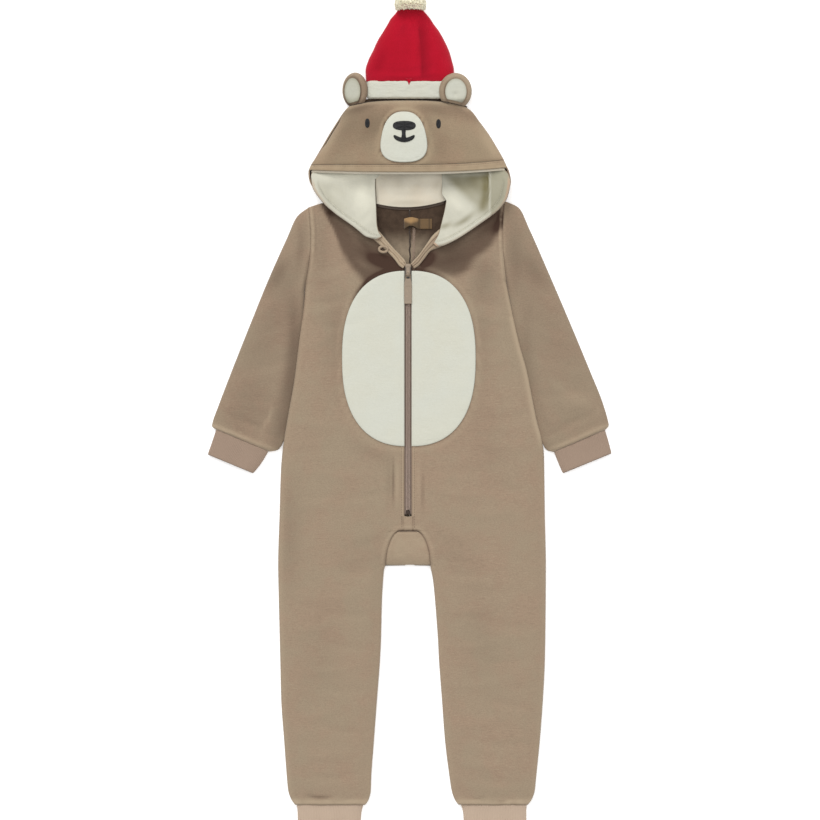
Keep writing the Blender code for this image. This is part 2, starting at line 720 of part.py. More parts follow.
def make_ear(side):
    ear = EARS[side]
    turns = steps(16, 0, 2 * math.pi)

    def outer(turn, row):
        reach = 1 - abs(row)
        x, y = ear_outline(ear, turn, reach)
        if row < 0:
            return x, y, ear_under(side, x, y) + 1.5 * reach**4
        return x, y, max(ear_top(side, x, y), ear_under(side, x, y) + 1.5 * reach**4)

    cloth(f"ear_{side}", turns, [-1, -0.4, -0.1, 0, 0.04, 0.2, 0.42, 0.7, 1], outer, TAN, 0, closed=True)
    lens = ear._replace(
        x=ear.inner_x, y=ear.inner_y, half_width=ear.inner_half_width, half_height=ear.inner_half_height
    )

    def inner(turn, row):
        reach = 1 - abs(row)
        x, y = ear_outline(lens, turn, reach, 4)
        base = ear_top(side, x, y) + 3 * GAP
        return x, y, base if row <= 0 else base + PATCH + 0.8 * (1 - reach**2)

    cloth(f"ear_inner_{side}", turns, [-1, -0.5, -0.02, 0.02, 0.3, 0.6, 1], inner, CREAM, 0, closed=True)


def flat_tube(name, bands, finish, wall, reach):
    rings = [Ring(band.left, band.y, band.right, band.y, band.height) for band in bands]
    tube(name, rings, 1, finish, wall, reach)


def make_pompom():
    """A plush ball, pressed flat where it rests."""
    sink = 1.0

    def place(turn, lift):
        radius = POMPOM["radius"] * math.cos(lift)
        z = max(POMPOM["half_height"] * (1 + math.sin(lift)) - sink, 0)
        return POMPOM["x"] + radius * math.cos(turn), POMPOM["y"] + radius * math.sin(turn), z

    lifts = steps(9, -math.pi / 2, math.pi / 2)
    cloth("pompom", steps(14, 0, 2 * math.pi), lifts, place, CREAM, 0, closed=True)


def patch(name, x, y, half_width, half_height, base, finish, thick, power=2.2, taper=0.0, turns=12):
    """A flat patch with an oval outline, moved out from the face by base. A taper narrows its top."""
    def place(turn, row):
        reach = 1 - abs(row)
        cos, sin = math.cos(turn), math.sin(turn)
        scale = reach / (abs(cos) ** power + abs(sin) ** power) ** (1 / power)
        across = half_width * scale * cos * (1 - taper * scale * sin)
        point = x + across, y + half_height * scale * sin
        return *point, hood_top(*point) + base + (thick if row > 0 else 0)

    rows = [-1, -0.66, -0.33, 0, 1e-6, 0.33, 0.66, 1] if turns > 12 else [-1, 0, 1e-6, 1]
    cloth(name, steps(turns, 0, 2 * math.pi), rows, place, finish, 0, closed=True)


ON_FACE = GAP
ON_MUZZLE = 2 * GAP + PATCH


def make_face():
    patch("muzzle", FACE_X + 0.4, 384, 32.5, 36, ON_FACE, CREAM, PATCH, 2.5, 0.22, turns=20)
    patch("nose", FACE_X + 0.8, 399.7, 15.8, 6.3, ON_MUZZLE, BLACK, THREAD, 2.5)
    patch("eye_right", FACE_X - 50.8, 403, 3.3, 6.4, ON_FACE, BLACK, THREAD)
    patch("eye_left", FACE_X + 48.6, 402, 3.2, 6.3, ON_FACE, BLACK, THREAD)

    def on_muzzle(x, y):
        return x, y, hood_top(x, y) + ON_MUZZLE + THREAD

    def philtrum(across, up):
        return on_muzzle(FACE_X + across * (2.2 + 0.9 * (2 * up - 1) ** 2), mix(383.2, 393.2, up))

    def smile(across, up):
        thick = 2.5 * math.sqrt(max(1 - abs(across) ** 4, 0.02))
        return on_muzzle(FACE_X + 0.6 + 14.6 * across, 379.7 + 4.6 * across**2 + thick * up)

    cloth("philtrum", steps(2, -1, 1), steps(3), philtrum, BLACK, THREAD)
    cloth("mouth", steps(12, -1, 1), [-1, 1], smile, BLACK, THREAD)


# ---------------------------------------------------------------- the zip

def zip_level(y):
    """The height of the front's face beside the zip."""
    return front_top("left", ZIP_HALF, y)


ZIP_ROWS = [-139, -110, -70, -30, 10, 50, 90, 130, 165, 192]


def make_zip():
    def strip(low_x, high_x, drop):
        return lambda column, y: (mix(low_x, high_x, column), y, zip_level(y) + drop)

    under = -FLEECE - GAP
    rows = [ZIP_END + 2] + ZIP_ROWS[1:] + [206]
    cloth("zip_tape_right", [0, 1], rows, strip(-TAPE_REACH, -0.9, under), ZIP_TAN, TAPE)
    cloth("zip_tape_left", [0, 1], rows, strip(0.9, TAPE_REACH, under), ZIP_TAN, TAPE)
    cloth("zip_coil", [0, 0.5, 1], ZIP_ROWS, strip(-COIL_HALF, COIL_HALF, under + GAP + COIL), ZIP_TAN, COIL)
    cloth("zip_stop", [0, 1], [-144.5, -139.5], strip(-3, 3, under + GAP + COIL), PAINTED, COIL)


SLIDER = {"low": 186.5, "high": 206.5, "half_low": 3.6, "half_high": 4.9, "plate": 2.2}
PIVOT_Y = 191.0
PIVOT_RISE = 1.8
BAIL_RADIUS = 2.9
PIN_HOLE = 1.15
PIN = 0.7


def box(centre, size):
    bm = bmesh.new()
    bmesh.ops.create_cube(bm, size=1)
    for vert in bm.verts:
        vert.co = [(middle + share * length) * MM for middle, share, length in zip(centre, vert.co, size)]
    return bm


def cylinder(name, radius, length, centre, finish):
    """A bar along X."""
    bm = bmesh.new()
    bmesh.ops.create_cone(
        bm, cap_ends=True, segments=16, radius1=radius * MM, radius2=radius * MM, depth=length * MM
    )
    for vert in bm.verts:
        x, y, z = vert.co
        vert.co = (z + centre[0] * MM, x + centre[1] * MM, y + centre[2] * MM)
    bmesh.ops.recalc_face_normals(bm, faces=bm.faces)
    return finished(name, bm, finish)


def joined(thing, other, operation):
    """A Boolean with another solid, which is kept hidden as its tool."""
    other.hide_render = True
    other.display_type = "WIRE"
    boolean = thing.modifiers.new(other.name, "BOOLEAN")
    boolean.operation = operation
    boolean.object = other
    boolean.solver = "EXACT"


def pivot():
    level = zip_level(PIVOT_Y)
    return 0, PIVOT_Y, level + GAP + SLIDER["plate"] + PIVOT_RISE


def make_slider():
    def place(across, up):
        half = mix(SLIDER["half_low"], SLIDER["half_high"], smooth(up * 1.6))
        y = mix(SLIDER["low"], SLIDER["high"], up)
        return across * half, y, zip_level(PIVOT_Y) + GAP + SLIDER["plate"]

    plate = cloth("zip_slider", steps(2, -1, 1), steps(4), place, PAINTED, SLIDER["plate"])
    bail = cylinder("bail", BAIL_RADIUS, 2.4, pivot(), PAINTED)
    joined(plate, bail, "UNION")
    joined(plate, cylinder("bail_hole", PIN_HOLE, 6, pivot(), PAINTED), "DIFFERENCE")


def make_pull():
    """The pull: a pin through the bail, two arms, and a flat tab that lies down along the zip."""
    level = zip_level(PIVOT_Y) - pivot()[2]
    Pull = namedtuple("Pull", "y half z thick")
    shape = [
        Pull(-41, 4.6, level + 3.4, 1.2), Pull(-40.2, 5.2, level + 3.4, 1.3), Pull(-22, 5.3, level + 3.4, 1.3),
        Pull(-13, 5.1, level + 3.5, 1.3), Pull(-9, 4.6, level + 3.8, 1.3), Pull(-4.2, 3.6, -0.3, 1.3),
        Pull(0.6, 3.5, 0.65, 1.3),
    ]

    def place(across, row):
        section = shape[row]
        return across * section.half, section.y, section.z

    hinge = bpy.data.objects.new("pull_hinge", None)
    bpy.context.scene.collection.objects.link(hinge)
    hinge.location = [value * MM for value in pivot()]
    tab = cloth("zip_pull", [-1, 0, 1], list(range(len(shape))), place, PAINTED, 1.3)
    window = finished("pull_window", box((0, -1.1, 0), (3.9, 5.6, 8)), PAINTED)
    pin = cylinder("pull_pin", PIN, 5.0, (0, 0, 0), PAINTED)
    joined(tab, window, "DIFFERENCE")
    joined(tab, pin, "UNION")
    for thing in (tab, window, pin):
        thing.parent = hinge


def main():
    clear_scene()
    for side in ("right", "left"):
        make_back(side)
        make_front(side)
        make_sleeve(side)
        tube(f"sleeve_cuff_{side}", SLEEVE_CUFF[side], SIGN[side], TAN_RIB, RIB, 20)
        tube(f"leg_cuff_{side}", LEG_CUFF[side], SIGN[side], TAN_RIB, RIB, 20)
        make_belly(side)
        make_neck_facing(side)
        make_hood_side(side)
        make_ear(side)
    make_gusset()
    make_neck_loop()
    make_hood_back()
    make_hood_face()
    make_hood_brim()
    make_lining_back()
    make_lining_top()
    make_neck_tape()
    make_neck_label()
    flat_tube("hat", HAT, RED, FLEECE, 26)
    flat_tube("hat_band", HAT_BAND, CREAM, 2.5, 18)
    make_pompom()
    make_face()
    make_zip()
    make_slider()
    make_pull()


main()
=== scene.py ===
"""A child's hooded bear all-in-one in fleece, laid flat: its cloth, knit, plush, zip and stitching.

Tables and sizes are in millimetres, and MM turns them into metres. +X is towards the wearer's left,
+Y towards the hood, and +Z up from the surface that the garment lies on. "right" and "left" are the
wearer's.
"""

import math
import random
from bisect import bisect_right
from collections import namedtuple

import bmesh
import bpy
from mathutils import Matrix, Vector, noise


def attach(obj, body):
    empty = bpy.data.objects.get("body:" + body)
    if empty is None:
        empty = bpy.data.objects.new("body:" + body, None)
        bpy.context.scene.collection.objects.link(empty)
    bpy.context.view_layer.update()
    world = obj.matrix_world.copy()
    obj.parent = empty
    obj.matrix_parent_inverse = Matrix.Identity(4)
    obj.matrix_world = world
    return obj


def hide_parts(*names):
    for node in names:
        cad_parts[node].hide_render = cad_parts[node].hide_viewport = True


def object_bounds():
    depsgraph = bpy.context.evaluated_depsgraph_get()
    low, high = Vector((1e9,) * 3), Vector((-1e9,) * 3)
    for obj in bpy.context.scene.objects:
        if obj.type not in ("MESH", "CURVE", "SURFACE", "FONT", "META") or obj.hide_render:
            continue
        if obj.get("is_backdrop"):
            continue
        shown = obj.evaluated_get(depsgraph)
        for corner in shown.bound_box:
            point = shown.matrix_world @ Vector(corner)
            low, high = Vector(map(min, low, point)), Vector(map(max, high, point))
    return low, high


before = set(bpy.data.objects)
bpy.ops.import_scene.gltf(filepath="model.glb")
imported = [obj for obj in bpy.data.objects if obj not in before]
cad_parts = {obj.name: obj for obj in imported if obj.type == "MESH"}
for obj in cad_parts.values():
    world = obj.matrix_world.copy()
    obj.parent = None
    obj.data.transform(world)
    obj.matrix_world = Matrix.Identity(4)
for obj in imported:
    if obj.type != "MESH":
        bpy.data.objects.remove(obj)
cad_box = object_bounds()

bl_info = {
    "name": "Bear All-in-One",
    "version": (1, 0, 0),
    "blender": (4, 5, 0),
    "location": "View3D > Sidebar > Bear",
    "description": "Makes a hooded fleece all-in-one with a bear's face and a small hat on its hood",
    "category": "Object",
}

MM = 0.001
SIDES = ("right", "left")
SIGN = {"right": -1, "left": 1}

# Cloth thicknesses, and the clearance of pieces laid on each other and of panels sewn together
FLEECE = 2.0
PLUSH = 1.5
RIB = 1.8
PATCH = 1.2
THREAD = 0.8
GAP = 0.3
SEAM = 0.05

# The lie of the garment: how high its seams stand, how its edges round over, and how the front
# clears the back along them
SEAM_RISE = 4.5
EDGE_REACH = 32.0
FOLD_POWER = 2.4
RISER = 1.7
# The station beside a panel's edge, and the width that turns it into a share
EDGE = 0.02
PANEL_WIDTH = 150

# The zip
ZIP_HALF = 5.0
ZIP_TOP = 208.0
ZIP_END = -147.0
TAPE_REACH = 9.5
COIL_RISE = 1.9
CENTRE_BACK = 2.5
TOPSTITCH = 8.9

# The gusset between the legs
GUSSET_TOP = -168.0
CROTCH = -215.6
CROTCH_REACH = 28.0
GUSSET_HALF = 31.0
GUSSET_FLAT = 12.6

# The belly patch, the bear's face and the hood
BELLY = {"x": 1.2, "y": 73.5, "half_width": 93.6, "half_height": 123.0, "power": 2.45}
FACE_X = -6.0
HOOD_HEIGHT = 34.0
HOOD_SEAM_REACH = 60.0
NECK_Y = 300.0
BACK_NECK = {"x": 3.5, "y": 284.0, "half_width": 50.0, "rise": 7.5}


def clamp(value, low=0.0, high=1.0):
    return min(max(value, low), high)


def mix(start, end, share):
    return start + (end - start) * share


def smooth(share):
    share = clamp(share)
    return share * share * (3 - 2 * share)


def steps(count, start=0.0, end=1.0):
    return [mix(start, end, index / count) for index in range(count + 1)]


def dense(count, ends=0.85):
    """Shares from 0 to 1 that crowd towards both ends."""
    return [share - ends * math.sin(2 * math.pi * share) / (2 * math.pi) for share in steps(count)]


def both_ways(count, ends=0.85):
    """Shares from -1 to 1 that crowd towards both ends."""
    return [2 * share - 1 for share in dense(count, ends)]


def hill(distance, width):
    """1 on a line, falling smoothly to nothing about two widths away."""
    return math.exp(-((distance / width) ** 2)) if abs(distance) < 3 * width else 0.0


def oval(across, up, power):
    """How far out a point lies in an oval, from 0 at its middle to 1 at its rim. More power is squarer."""
    return (abs(across) ** power + abs(up) ** power) ** (1 / power)


class Curve:
    """A smooth curve through a table's points that never overshoots them."""

    def __init__(self, points):
        self.at, self.values = zip(*sorted(points))
        rises = [
            (high - low) / (end - start)
            for start, end, low, high in zip(self.at, self.at[1:], self.values, self.values[1:])
        ]
        middle = [2 * a * b / (a + b) if a * b > 0 else 0.0 for a, b in zip(rises, rises[1:])]
        self.slopes = [rises[0]] + middle + [rises[-1]]

    def __call__(self, at):
        if at <= self.at[0]:
            return self.values[0]
        if at >= self.at[-1]:
            return self.values[-1]
        index = bisect_right(self.at, at) - 1
        span = self.at[index + 1] - self.at[index]
        t = (at - self.at[index]) / span
        low, high = self.values[index], self.values[index + 1]
        start, end = self.slopes[index] * span, self.slopes[index + 1] * span
        return (
            low + t * start + t * t * (3 * (high - low) - 2 * start - end)
            + t * t * t * (start + end - 2 * (high - low))
        )


def curves_down(table):
    """A curve for each column of a table, by the number of the row."""
    return [Curve(enumerate(column)) for column in zip(*table)]


Height = namedtuple("Height", "y height")
Side = namedtuple("Side", "y x")
Ring = namedtuple("Ring", "outer_x outer_y inner_x inner_y height")
Wing = namedtuple("Wing", "inner_x inner_y inner_z outer_x outer_y outer_z")
Hood = namedtuple("Hood", "y right left rise")
HoodLine = namedtuple("HoodLine", "centre right left bend")
Band = namedtuple("Band", "y left right height")
Strip = namedtuple("Strip", "inner_x inner_y outer_x outer_y")
Oval = namedtuple("Oval", "x y half_width half_height power taper", defaults=[0])
Ear = namedtuple("Ear", "x y half_width half_height inner_x inner_y inner_half_width inner_half_height")
Fold = namedtuple("Fold", "x y length width rise turn bow", defaults=[0.18])

# How high the front stands over the surface, from the shoulders to the ankles
BODY_HEIGHT = Curve([
    Height(310, 11), Height(170, 11), Height(90, 12.5), Height(0, 13.5), Height(-150, 14),
    Height(-260, 15), Height(-400, 14), Height(-500, 12.5), Height(-535, 11.5), Height(-549, 8.5),
])

# Side seams, each from the underarm to the ankle
SIDE_SEAM = {
    "right": Curve([
        Side(176, 144), Side(155, 145.6), Side(99, 152.6), Side(43, 159.6), Side(-13, 169.4),
        Side(-52, 175.4), Side(-83, 178), Side(-147, 180), Side(-215, 182), Side(-265, 181),
        Side(-349, 179), Side(-405, 177.6), Side(-461, 173.6), Side(-517, 169.4),
        Side(-531, 168), Side(-543, 164), Side(-549, 158),
    ]),
    "left": Curve([
        Side(181, 137.5), Side(141, 145.6), Side(92, 156.8), Side(57, 166.6), Side(22, 173.6),
        Side(-13, 180.6), Side(-40, 187.5), Side(-62, 190.5), Side(-147, 191.8), Side(-215, 193.2),
        Side(-265, 193), Side(-349, 191.8), Side(-405, 189), Side(-461, 184.8), Side(-517, 179.2),
        Side(-531, 177.8), Side(-543, 174), Side(-549, 168),
    ]),
}

# Inseams, from the crotch to the ankle
INSEAM = {
    "right": Curve([
        Side(-215.6, 31), Side(-222, 33.5), Side(-237, 34.8), Side(-265, 36.4), Side(-321, 37.8),
        Side(-349, 39.2), Side(-405, 43.4), Side(-461, 47.6), Side(-517, 51.6), Side(-531, 52),
        Side(-543, 54.5), Side(-549, 60),
    ]),
    "left": Curve([
        Side(-215.6, 31), Side(-222, 32.2), Side(-237, 35), Side(-265, 37.8), Side(-321, 42),
        Side(-349, 43.4), Side(-405, 47.6), Side(-461, 51.8), Side(-517, 58.8), Side(-531, 61),
        Side(-543, 65), Side(-549, 71),
    ]),
}

# Neck point, shoulder tip and underarm, and how far the shoulder bows up and the armhole in
NECK_POINT = {"right": (46, NECK_Y), "left": (54, NECK_Y)}
SHOULDER_TIP = {"right": (139, 285.5), "left": (135, 294.5)}
SHOULDER_BOW = {"right": 5.0, "left": 3.0}
UNDERARM = {"right": (144, 176), "left": (137.5, 181)}
ARMHOLE_BOW = {"right": 5.0, "left": 3.5}

# The front's neckline, from the neck point to the top of the zip
NECKLINE = {
    "right": Curve([Side(300, 46), Side(256, 44), Side(208, 5)]),
    "left": Curve([Side(300, 54), Side(256, 52), Side(208, 5)]),
}

# Sleeves, a row for each section from the armhole to the cuff
SLEEVE = {
    "right": [
        Ring(139, 285.5, 144, 176, 11), Ring(155, 273, 145.2, 171.5, 11.5), Ring(171, 239, 147.5, 140, 12),
        Ring(196, 183, 152.8, 98, 13), Ring(222, 119, 158.8, 50, 13), Ring(247, 56, 165.2, 11, 12.5),
        Ring(265, 9, 170.6, -20, 12), Ring(273.4, -14, 175, -42, 11.5), Ring(274.8, -21, 184, -55, 11),
        Ring(270, -25.5, 195, -57, 8.5),
    ],
    "left": [
        Ring(135, 294.5, 137.5, 181, 11), Ring(155, 285, 142.8, 157, 11.5), Ring(171, 253, 146.2, 138.5, 12),
        Ring(196, 196, 156, 95, 13), Ring(226, 126, 166.6, 57, 13), Ring(253, 61, 174.6, 17, 12.5),
        Ring(272, 14, 181.4, -16, 12), Ring(279.6, -11, 187.7, -42, 11.5), Ring(281.4, -20, 196.5, -55.5, 11),
        Ring(277, -26, 205, -57.5, 8.5),
    ],
}
SLEEVE_CUFF = {
    "right": [
        Ring(269.3, -26.8, 195.8, -57.3, 8.5), Ring(275, -44, 206, -74, 8), Ring(281, -61, 217, -87.5, 8),
    ],
    "left": [
        Ring(276.5, -27.5, 204.8, -58.2, 8.5), Ring(281.5, -44, 211, -74, 8),
        Ring(285.5, -59.5, 217, -87.5, 8),
    ],
}
LEG_CUFF = {
    "right": [
        Ring(156.5, -549.5, 61.5, -549.5, 8.5), Ring(155, -562, 65, -562, 8), Ring(154.5, -588, 67, -588, 8),
    ],
    "left": [
        Ring(167, -549.5, 73, -549.5, 8.5), Ring(166, -562, 77, -562, 8), Ring(166, -588, 78.5, -588, 8),
    ],
}

# The hood's half-widths and how high its underside stands, from the head seam to the shoulders
HOOD = [
    Hood(436, 60, 60, 6), Hood(427, 82, 79, 6), Hood(419, 90, 90, 6.5), Hood(407, 98, 99, 7),
    Hood(388, 110, 113, 8), Hood(369, 121, 124.5, 10), Hood(352, 131, 134, 12.8),
    Hood(343, 136.5, 138, 14.5), Hood(334, 139.5, 142, 15.8), Hood(322, 138, 144, 18),
    Hood(308, 130, 141.5, 20), Hood(294, 120, 133.5, 21),
]
HOOD_RIGHT = Curve([(row.y, row.right) for row in HOOD])
HOOD_LEFT = Curve([(row.y, row.left) for row in HOOD])
HOOD_RISE = Curve([(row.y, row.rise) for row in HOOD])

# Lines across the hood: where each stands at the centre and where it meets the outline at each side
HEAD_SEAM = HoodLine(435, 427, 425, 3)
BRIM_SEAM = HoodLine(344.5, 345, 352, 2.5)
BRIM_EDGE = HoodLine(334, 337.5, 341, 2.5)

# The hood's sides, which lie over the shoulders and end at the zip, from the brim to the tip
WING = {
    "right": [
        Wing(46, 349, 2.5, 124, 349, 7.5), Wing(46, 338, 2.5, 130.5, 338, 10.5),
        Wing(46, 330, 2.6, 135.8, 329, 17.4), Wing(46, 318, 3, 134, 314, 20),
        Wing(45.5, 300, 8.5, 121, 293.5, 21.8), Wing(44.8, 284, 11.8, 104, 277.5, 22.5),
        Wing(44, 262, 12.4, 75.5, 257, 22), Wing(41.5, 250.5, 13.2, 58, 243.4, 20.5),
        Wing(38.5, 246, 13.4, 48.5, 241, 17.5), Wing(37, 243.5, 12.8, 42.5, 240, 14.5),
    ],
    "left": [
        Wing(54.6, 349, 2.5, 126, 349, 7.5), Wing(54.6, 340, 2.5, 131, 341, 10.5),
        Wing(54.6, 332, 2.6, 140.5, 331, 17.4), Wing(54.6, 320, 3, 143.5, 320, 20),
        Wing(54.6, 302, 8.5, 139.5, 299.5, 21.8), Wing(52.5, 286, 11.8, 129.5, 284, 22.5),
        Wing(47.5, 264, 12.4, 98, 259.5, 22), Wing(43, 247, 13.2, 65, 238.3, 20.5),
        Wing(39, 239.5, 13.4, 49.5, 231.4, 17.5), Wing(35.5, 234.5, 12.8, 40.5, 229.4, 14.5),
    ],
}

# Inside the back neck: its tape, its label's loop and tab, and its seam with the overlocked edge
NECK_TAPE = {"right": -43, "left": 51, "above": 3.5, "below": 2.4, "tilt": 0.04}
LABEL = {"right": -5.6, "left": 33.5, "low": 255, "high": 269.5, "loop": 20}
NECK_SEAM = {"low": 206, "high": 282, "edge_high": 258, "edge": 5.6}

# The neck's facings, each from under the hood's hem down to the zip
FACING = {
    "right": [
        Strip(46, 258, 52, 244), Strip(36.7, 247.5, 43.7, 236), Strip(23.2, 231.5, 30.7, 224.5),
        Strip(10.8, 218.5, 19.8, 213), Strip(4.2, 211, 12, 203), Strip(2.6, 207, 7, 199.5),
    ],
    "left": [
        Strip(48, 258, 57, 240), Strip(34.5, 246, 44, 229), Strip(23.5, 230.5, 32.5, 224.5),
        Strip(14, 217.5, 23, 213), Strip(7, 210, 15, 203.5), Strip(4, 206.5, 9, 199.5),
    ],
}

# The hat, its turn-up and the lining behind the head, a row for each line across
HAT = [
    Band(461.4, -58.8, 64.4, 15), Band(477, -59.6, 64.4, 16), Band(491, -55.8, 61.6, 16.5),
    Band(505, -49, 57.4, 16.5), Band(519, -42.6, 51, 16), Band(533, -34, 43, 15),
    Band(543, -28, 35.5, 13.8), Band(549.3, -24.5, 31.5, 12.8), Band(556, -18.5, 26, 11.8),
    Band(562.5, -13.5, 20.5, 10),
]
HAT_BAND = [
    Band(436.8, -55, 60, 9), Band(439.6, -58, 63.5, 12.5), Band(450.5, -59.5, 65, 13.4),
    Band(459.4, -58.8, 64.8, 14), Band(462.6, -57.8, 63.8, 13.2), Band(464.6, -56, 62, 11),
]
POMPOM = {"x": 3.5, "y": 569.3, "radius": 21.7, "half_height": 18.0, "sink": 1.0}

LINING_BACK = [
    Band(424, -68, 66, 0), Band(405, -88, 89, 0), Band(380, -103, 105, 0), Band(357, -114, 116, 0),
    Band(352.5, -116, 118, 0), Band(350, -45, 53.6, 0.8), Band(330, -45, 53.6, 3.5),
    Band(310, -45, 53.6, 4.5), Band(296, -44.6, 53.4, 3.5), Band(291, -44.4, 53.4, 2),
]

# The ears, each with the lens of plush sewn inside it
EARS = {
    "right": Ear(-74.2, 449.2, 17.8, 25, -77.8, 447.6, 11.3, 19),
    "left": Ear(66.4, 447.8, 22.9, 25.4, 67, 446.6, 15.2, 18.6),
}
EAR_THICK = 7.0
EAR_BASE_CLEAR = 0.6

# The zip's slider, and the hinge of its pull
SLIDER = {"low": 184.5, "high": 206.5, "half_low": 3.6, "half_high": 4.9, "plate": 2.2}
PIVOT_Y = 191.0
PIVOT_RISE = 1.8
BAIL_RADIUS = 2.9
PIN_HOLE = 1.15
PIN = 0.7

# Creases and ridges of the front: where, how long and wide, how high, which way
FRONT_FOLDS = [
    # beside the armholes and under the arms
    Fold(-112, 152, 46, 5, -1.1, 8), Fold(-120, 138, 52, 6, 0.8, 12), Fold(-104, 118, 60, 5, -0.8, 4),
    Fold(-126, 96, 38, 7, 0.9, 22), Fold(-118, 60, 48, 6, -0.7, -8), Fold(-112, 186, 34, 5, 0.7, 14),
    Fold(-96, 204, 40, 6, -0.9, 24), Fold(108, 150, 44, 6, -1.0, -16), Fold(118, 128, 50, 5, 0.8, -10),
    Fold(110, 100, 42, 7, -0.8, -22), Fold(122, 70, 50, 6, 0.7, 6), Fold(104, 190, 36, 6, -0.8, -28),
    Fold(92, 214, 38, 7, 0.8, -20),
    # round the hips and over the lower body
    Fold(-128, -20, 58, 8, 0.9, -6), Fold(-138, -58, 50, 6, -0.8, 5), Fold(-96, -92, 80, 7, 0.7, -3),
    Fold(-70, -122, 66, 6, -0.8, 6), Fold(-128, -132, 54, 7, 0.8, 10), Fold(134, -12, 60, 7, -0.8, 9),
    Fold(122, -50, 56, 8, 0.9, -5), Fold(80, -84, 84, 7, -0.7, 3), Fold(62, -116, 60, 6, 0.8, -8),
    Fold(142, -110, 48, 8, -0.9, -12), Fold(112, -146, 60, 6, 0.7, 4),
    # soft ridges on each side of the plain end of the zip
    Fold(-15, -102, 54, 4, 0.9, 90, 0), Fold(15, -106, 52, 4, 0.8, 90, 0.02),
    Fold(-21.5, -100, 46, 2.4, -0.9, 90, 0.01), Fold(22, -112, 44, 2.6, -0.7, 90, -0.01),
    # drag lines that run from the gusset's corners into the legs
    Fold(-58, -186, 44, 7, -1.3, 20), Fold(-64, -206, 52, 6, 0.9, 14), Fold(-74, -228, 50, 7, -1.0, 6),
    Fold(60, -184, 46, 7, -1.2, -22), Fold(66, -204, 50, 6, 0.9, -15), Fold(78, -230, 54, 7, -1.0, -5),
    # the legs, down to the gathers over the cuffs
    Fold(-108, -262, 88, 8, 0.8, 4), Fold(-92, -286, 62, 6, -0.9, -5), Fold(-132, -306, 52, 7, 0.7, 8),
    Fold(-84, -332, 58, 7, -0.7, -10), Fold(-120, -366, 74, 6, 0.8, 3), Fold(-98, -392, 60, 7, -0.8, -4),
    Fold(-128, -428, 48, 8, 0.8, 12), Fold(-88, -450, 46, 6, -0.8, -9), Fold(-112, -484, 58, 7, 0.9, 2),
    Fold(-102, -514, 50, 6, -1.1, 5), Fold(112, -254, 84, 8, -0.8, -4), Fold(90, -280, 60, 6, 0.8, 6),
    Fold(136, -302, 56, 7, -0.8, -9), Fold(96, -330, 64, 6, 0.7, 8), Fold(128, -352, 60, 7, -0.9, -3),
    Fold(102, -384, 66, 7, 0.8, 4), Fold(140, -412, 46, 6, -0.8, -14), Fold(98, -438, 58, 7, 0.7, 10),
    Fold(126, -468, 56, 6, -0.9, -4), Fold(112, -498, 60, 7, 0.9, -2), Fold(124, -520, 48, 6, -1.0, -6),
]

# Where the hood's painted shadow on the chest ends, measured out from the centre
CHEST_SHADOW_EDGE = {
    "right": Curve([
        Side(290, 121), Side(276, 116), Side(259, 107), Side(242, 99.5), Side(225, 93), Side(209, 84),
        Side(200, 78), Side(192, 70), Side(183, 65), Side(170, 60),
    ]),
    "left": Curve([
        Side(290, 147), Side(276, 143), Side(259, 135), Side(251, 128), Side(234, 118), Side(225, 109),
        Side(217, 97), Side(209, 90), Side(200, 86), Side(192, 76), Side(180, 68),
    ]),
}

# Painted shading of the front, patch by patch: painted shade above nought, painted light below it
FRONT_PAINTED_SHADING = [
    Fold(-36, 210, 30, 7, 0.6, -8), Fold(-24, 205, 18, 5, 0.4, -24), Fold(-56, 222, 26, 8, 0.14, -40),
    Fold(-109, 277, 9, 3, 0.3, -40), Fold(26, 210, 20, 5, 0.4, 62), Fold(-62, 205, 20, 4, -0.14, -30),
    Fold(-28, 206, 26, 6, 0.55, -18), Fold(28, 210, 26, 7, 0.35, 44), Fold(128, 262, 24, 7, 0.45, 62),
    Fold(-76, 252, 48, 4, -0.35, -34, 0), Fold(98, 253, 40, 4, -0.3, 35, 0),
    Fold(108, 262, 34, 7, 0.25, 40), Fold(58, 210, 40, 9, 0.12, 12), Fold(-74, 240, 34, 4, -0.1, -52),
    Fold(-122, 226, 84, 14, 0.16, 90, 0), Fold(106, 188, 48, 18, 0.26, 90, 0),
    Fold(-166, -170, 120, 16, 0.14, 90, 0),
    Fold(84, 236, 34, 5, -0.1, 30), Fold(-98, 110, 90, 22, 0.16, 90, 0), Fold(102, 100, 90, 16, 0.12, 90, 0),
    Fold(-20, -100, 44, 1.5, 0.55, 90, 0.01), Fold(20.5, -113, 42, 1.5, 0.36, 90, -0.01),
    Fold(-15, -100, 48, 3.4, -0.34, 90, 0), Fold(15, -106, 46, 3.4, -0.2, 90, 0),
    Fold(-27, -96, 46, 4.0, 0.12, 90, 0), Fold(-50, -60, 50, 9, 0.12, -20),
    Fold(-124, -541, 24, 2.6, 0.5, -4), Fold(-96, -546, 18, 1.8, 0.3, 8), Fold(126, -547, 26, 2.0, 0.55, 4),
    Fold(96, -543, 16, 2.2, 0.25, 12),
    Fold(-84, 60, 90, 26, 0.08, 70), Fold(112, -40, 96, 28, 0.07, 104), Fold(-120, -330, 110, 24, 0.06, 82),
    Fold(104, -300, 120, 26, 0.07, 96), Fold(-60, -196, 60, 14, 0.1, 24), Fold(62, -196, 60, 14, 0.1, -24),
]
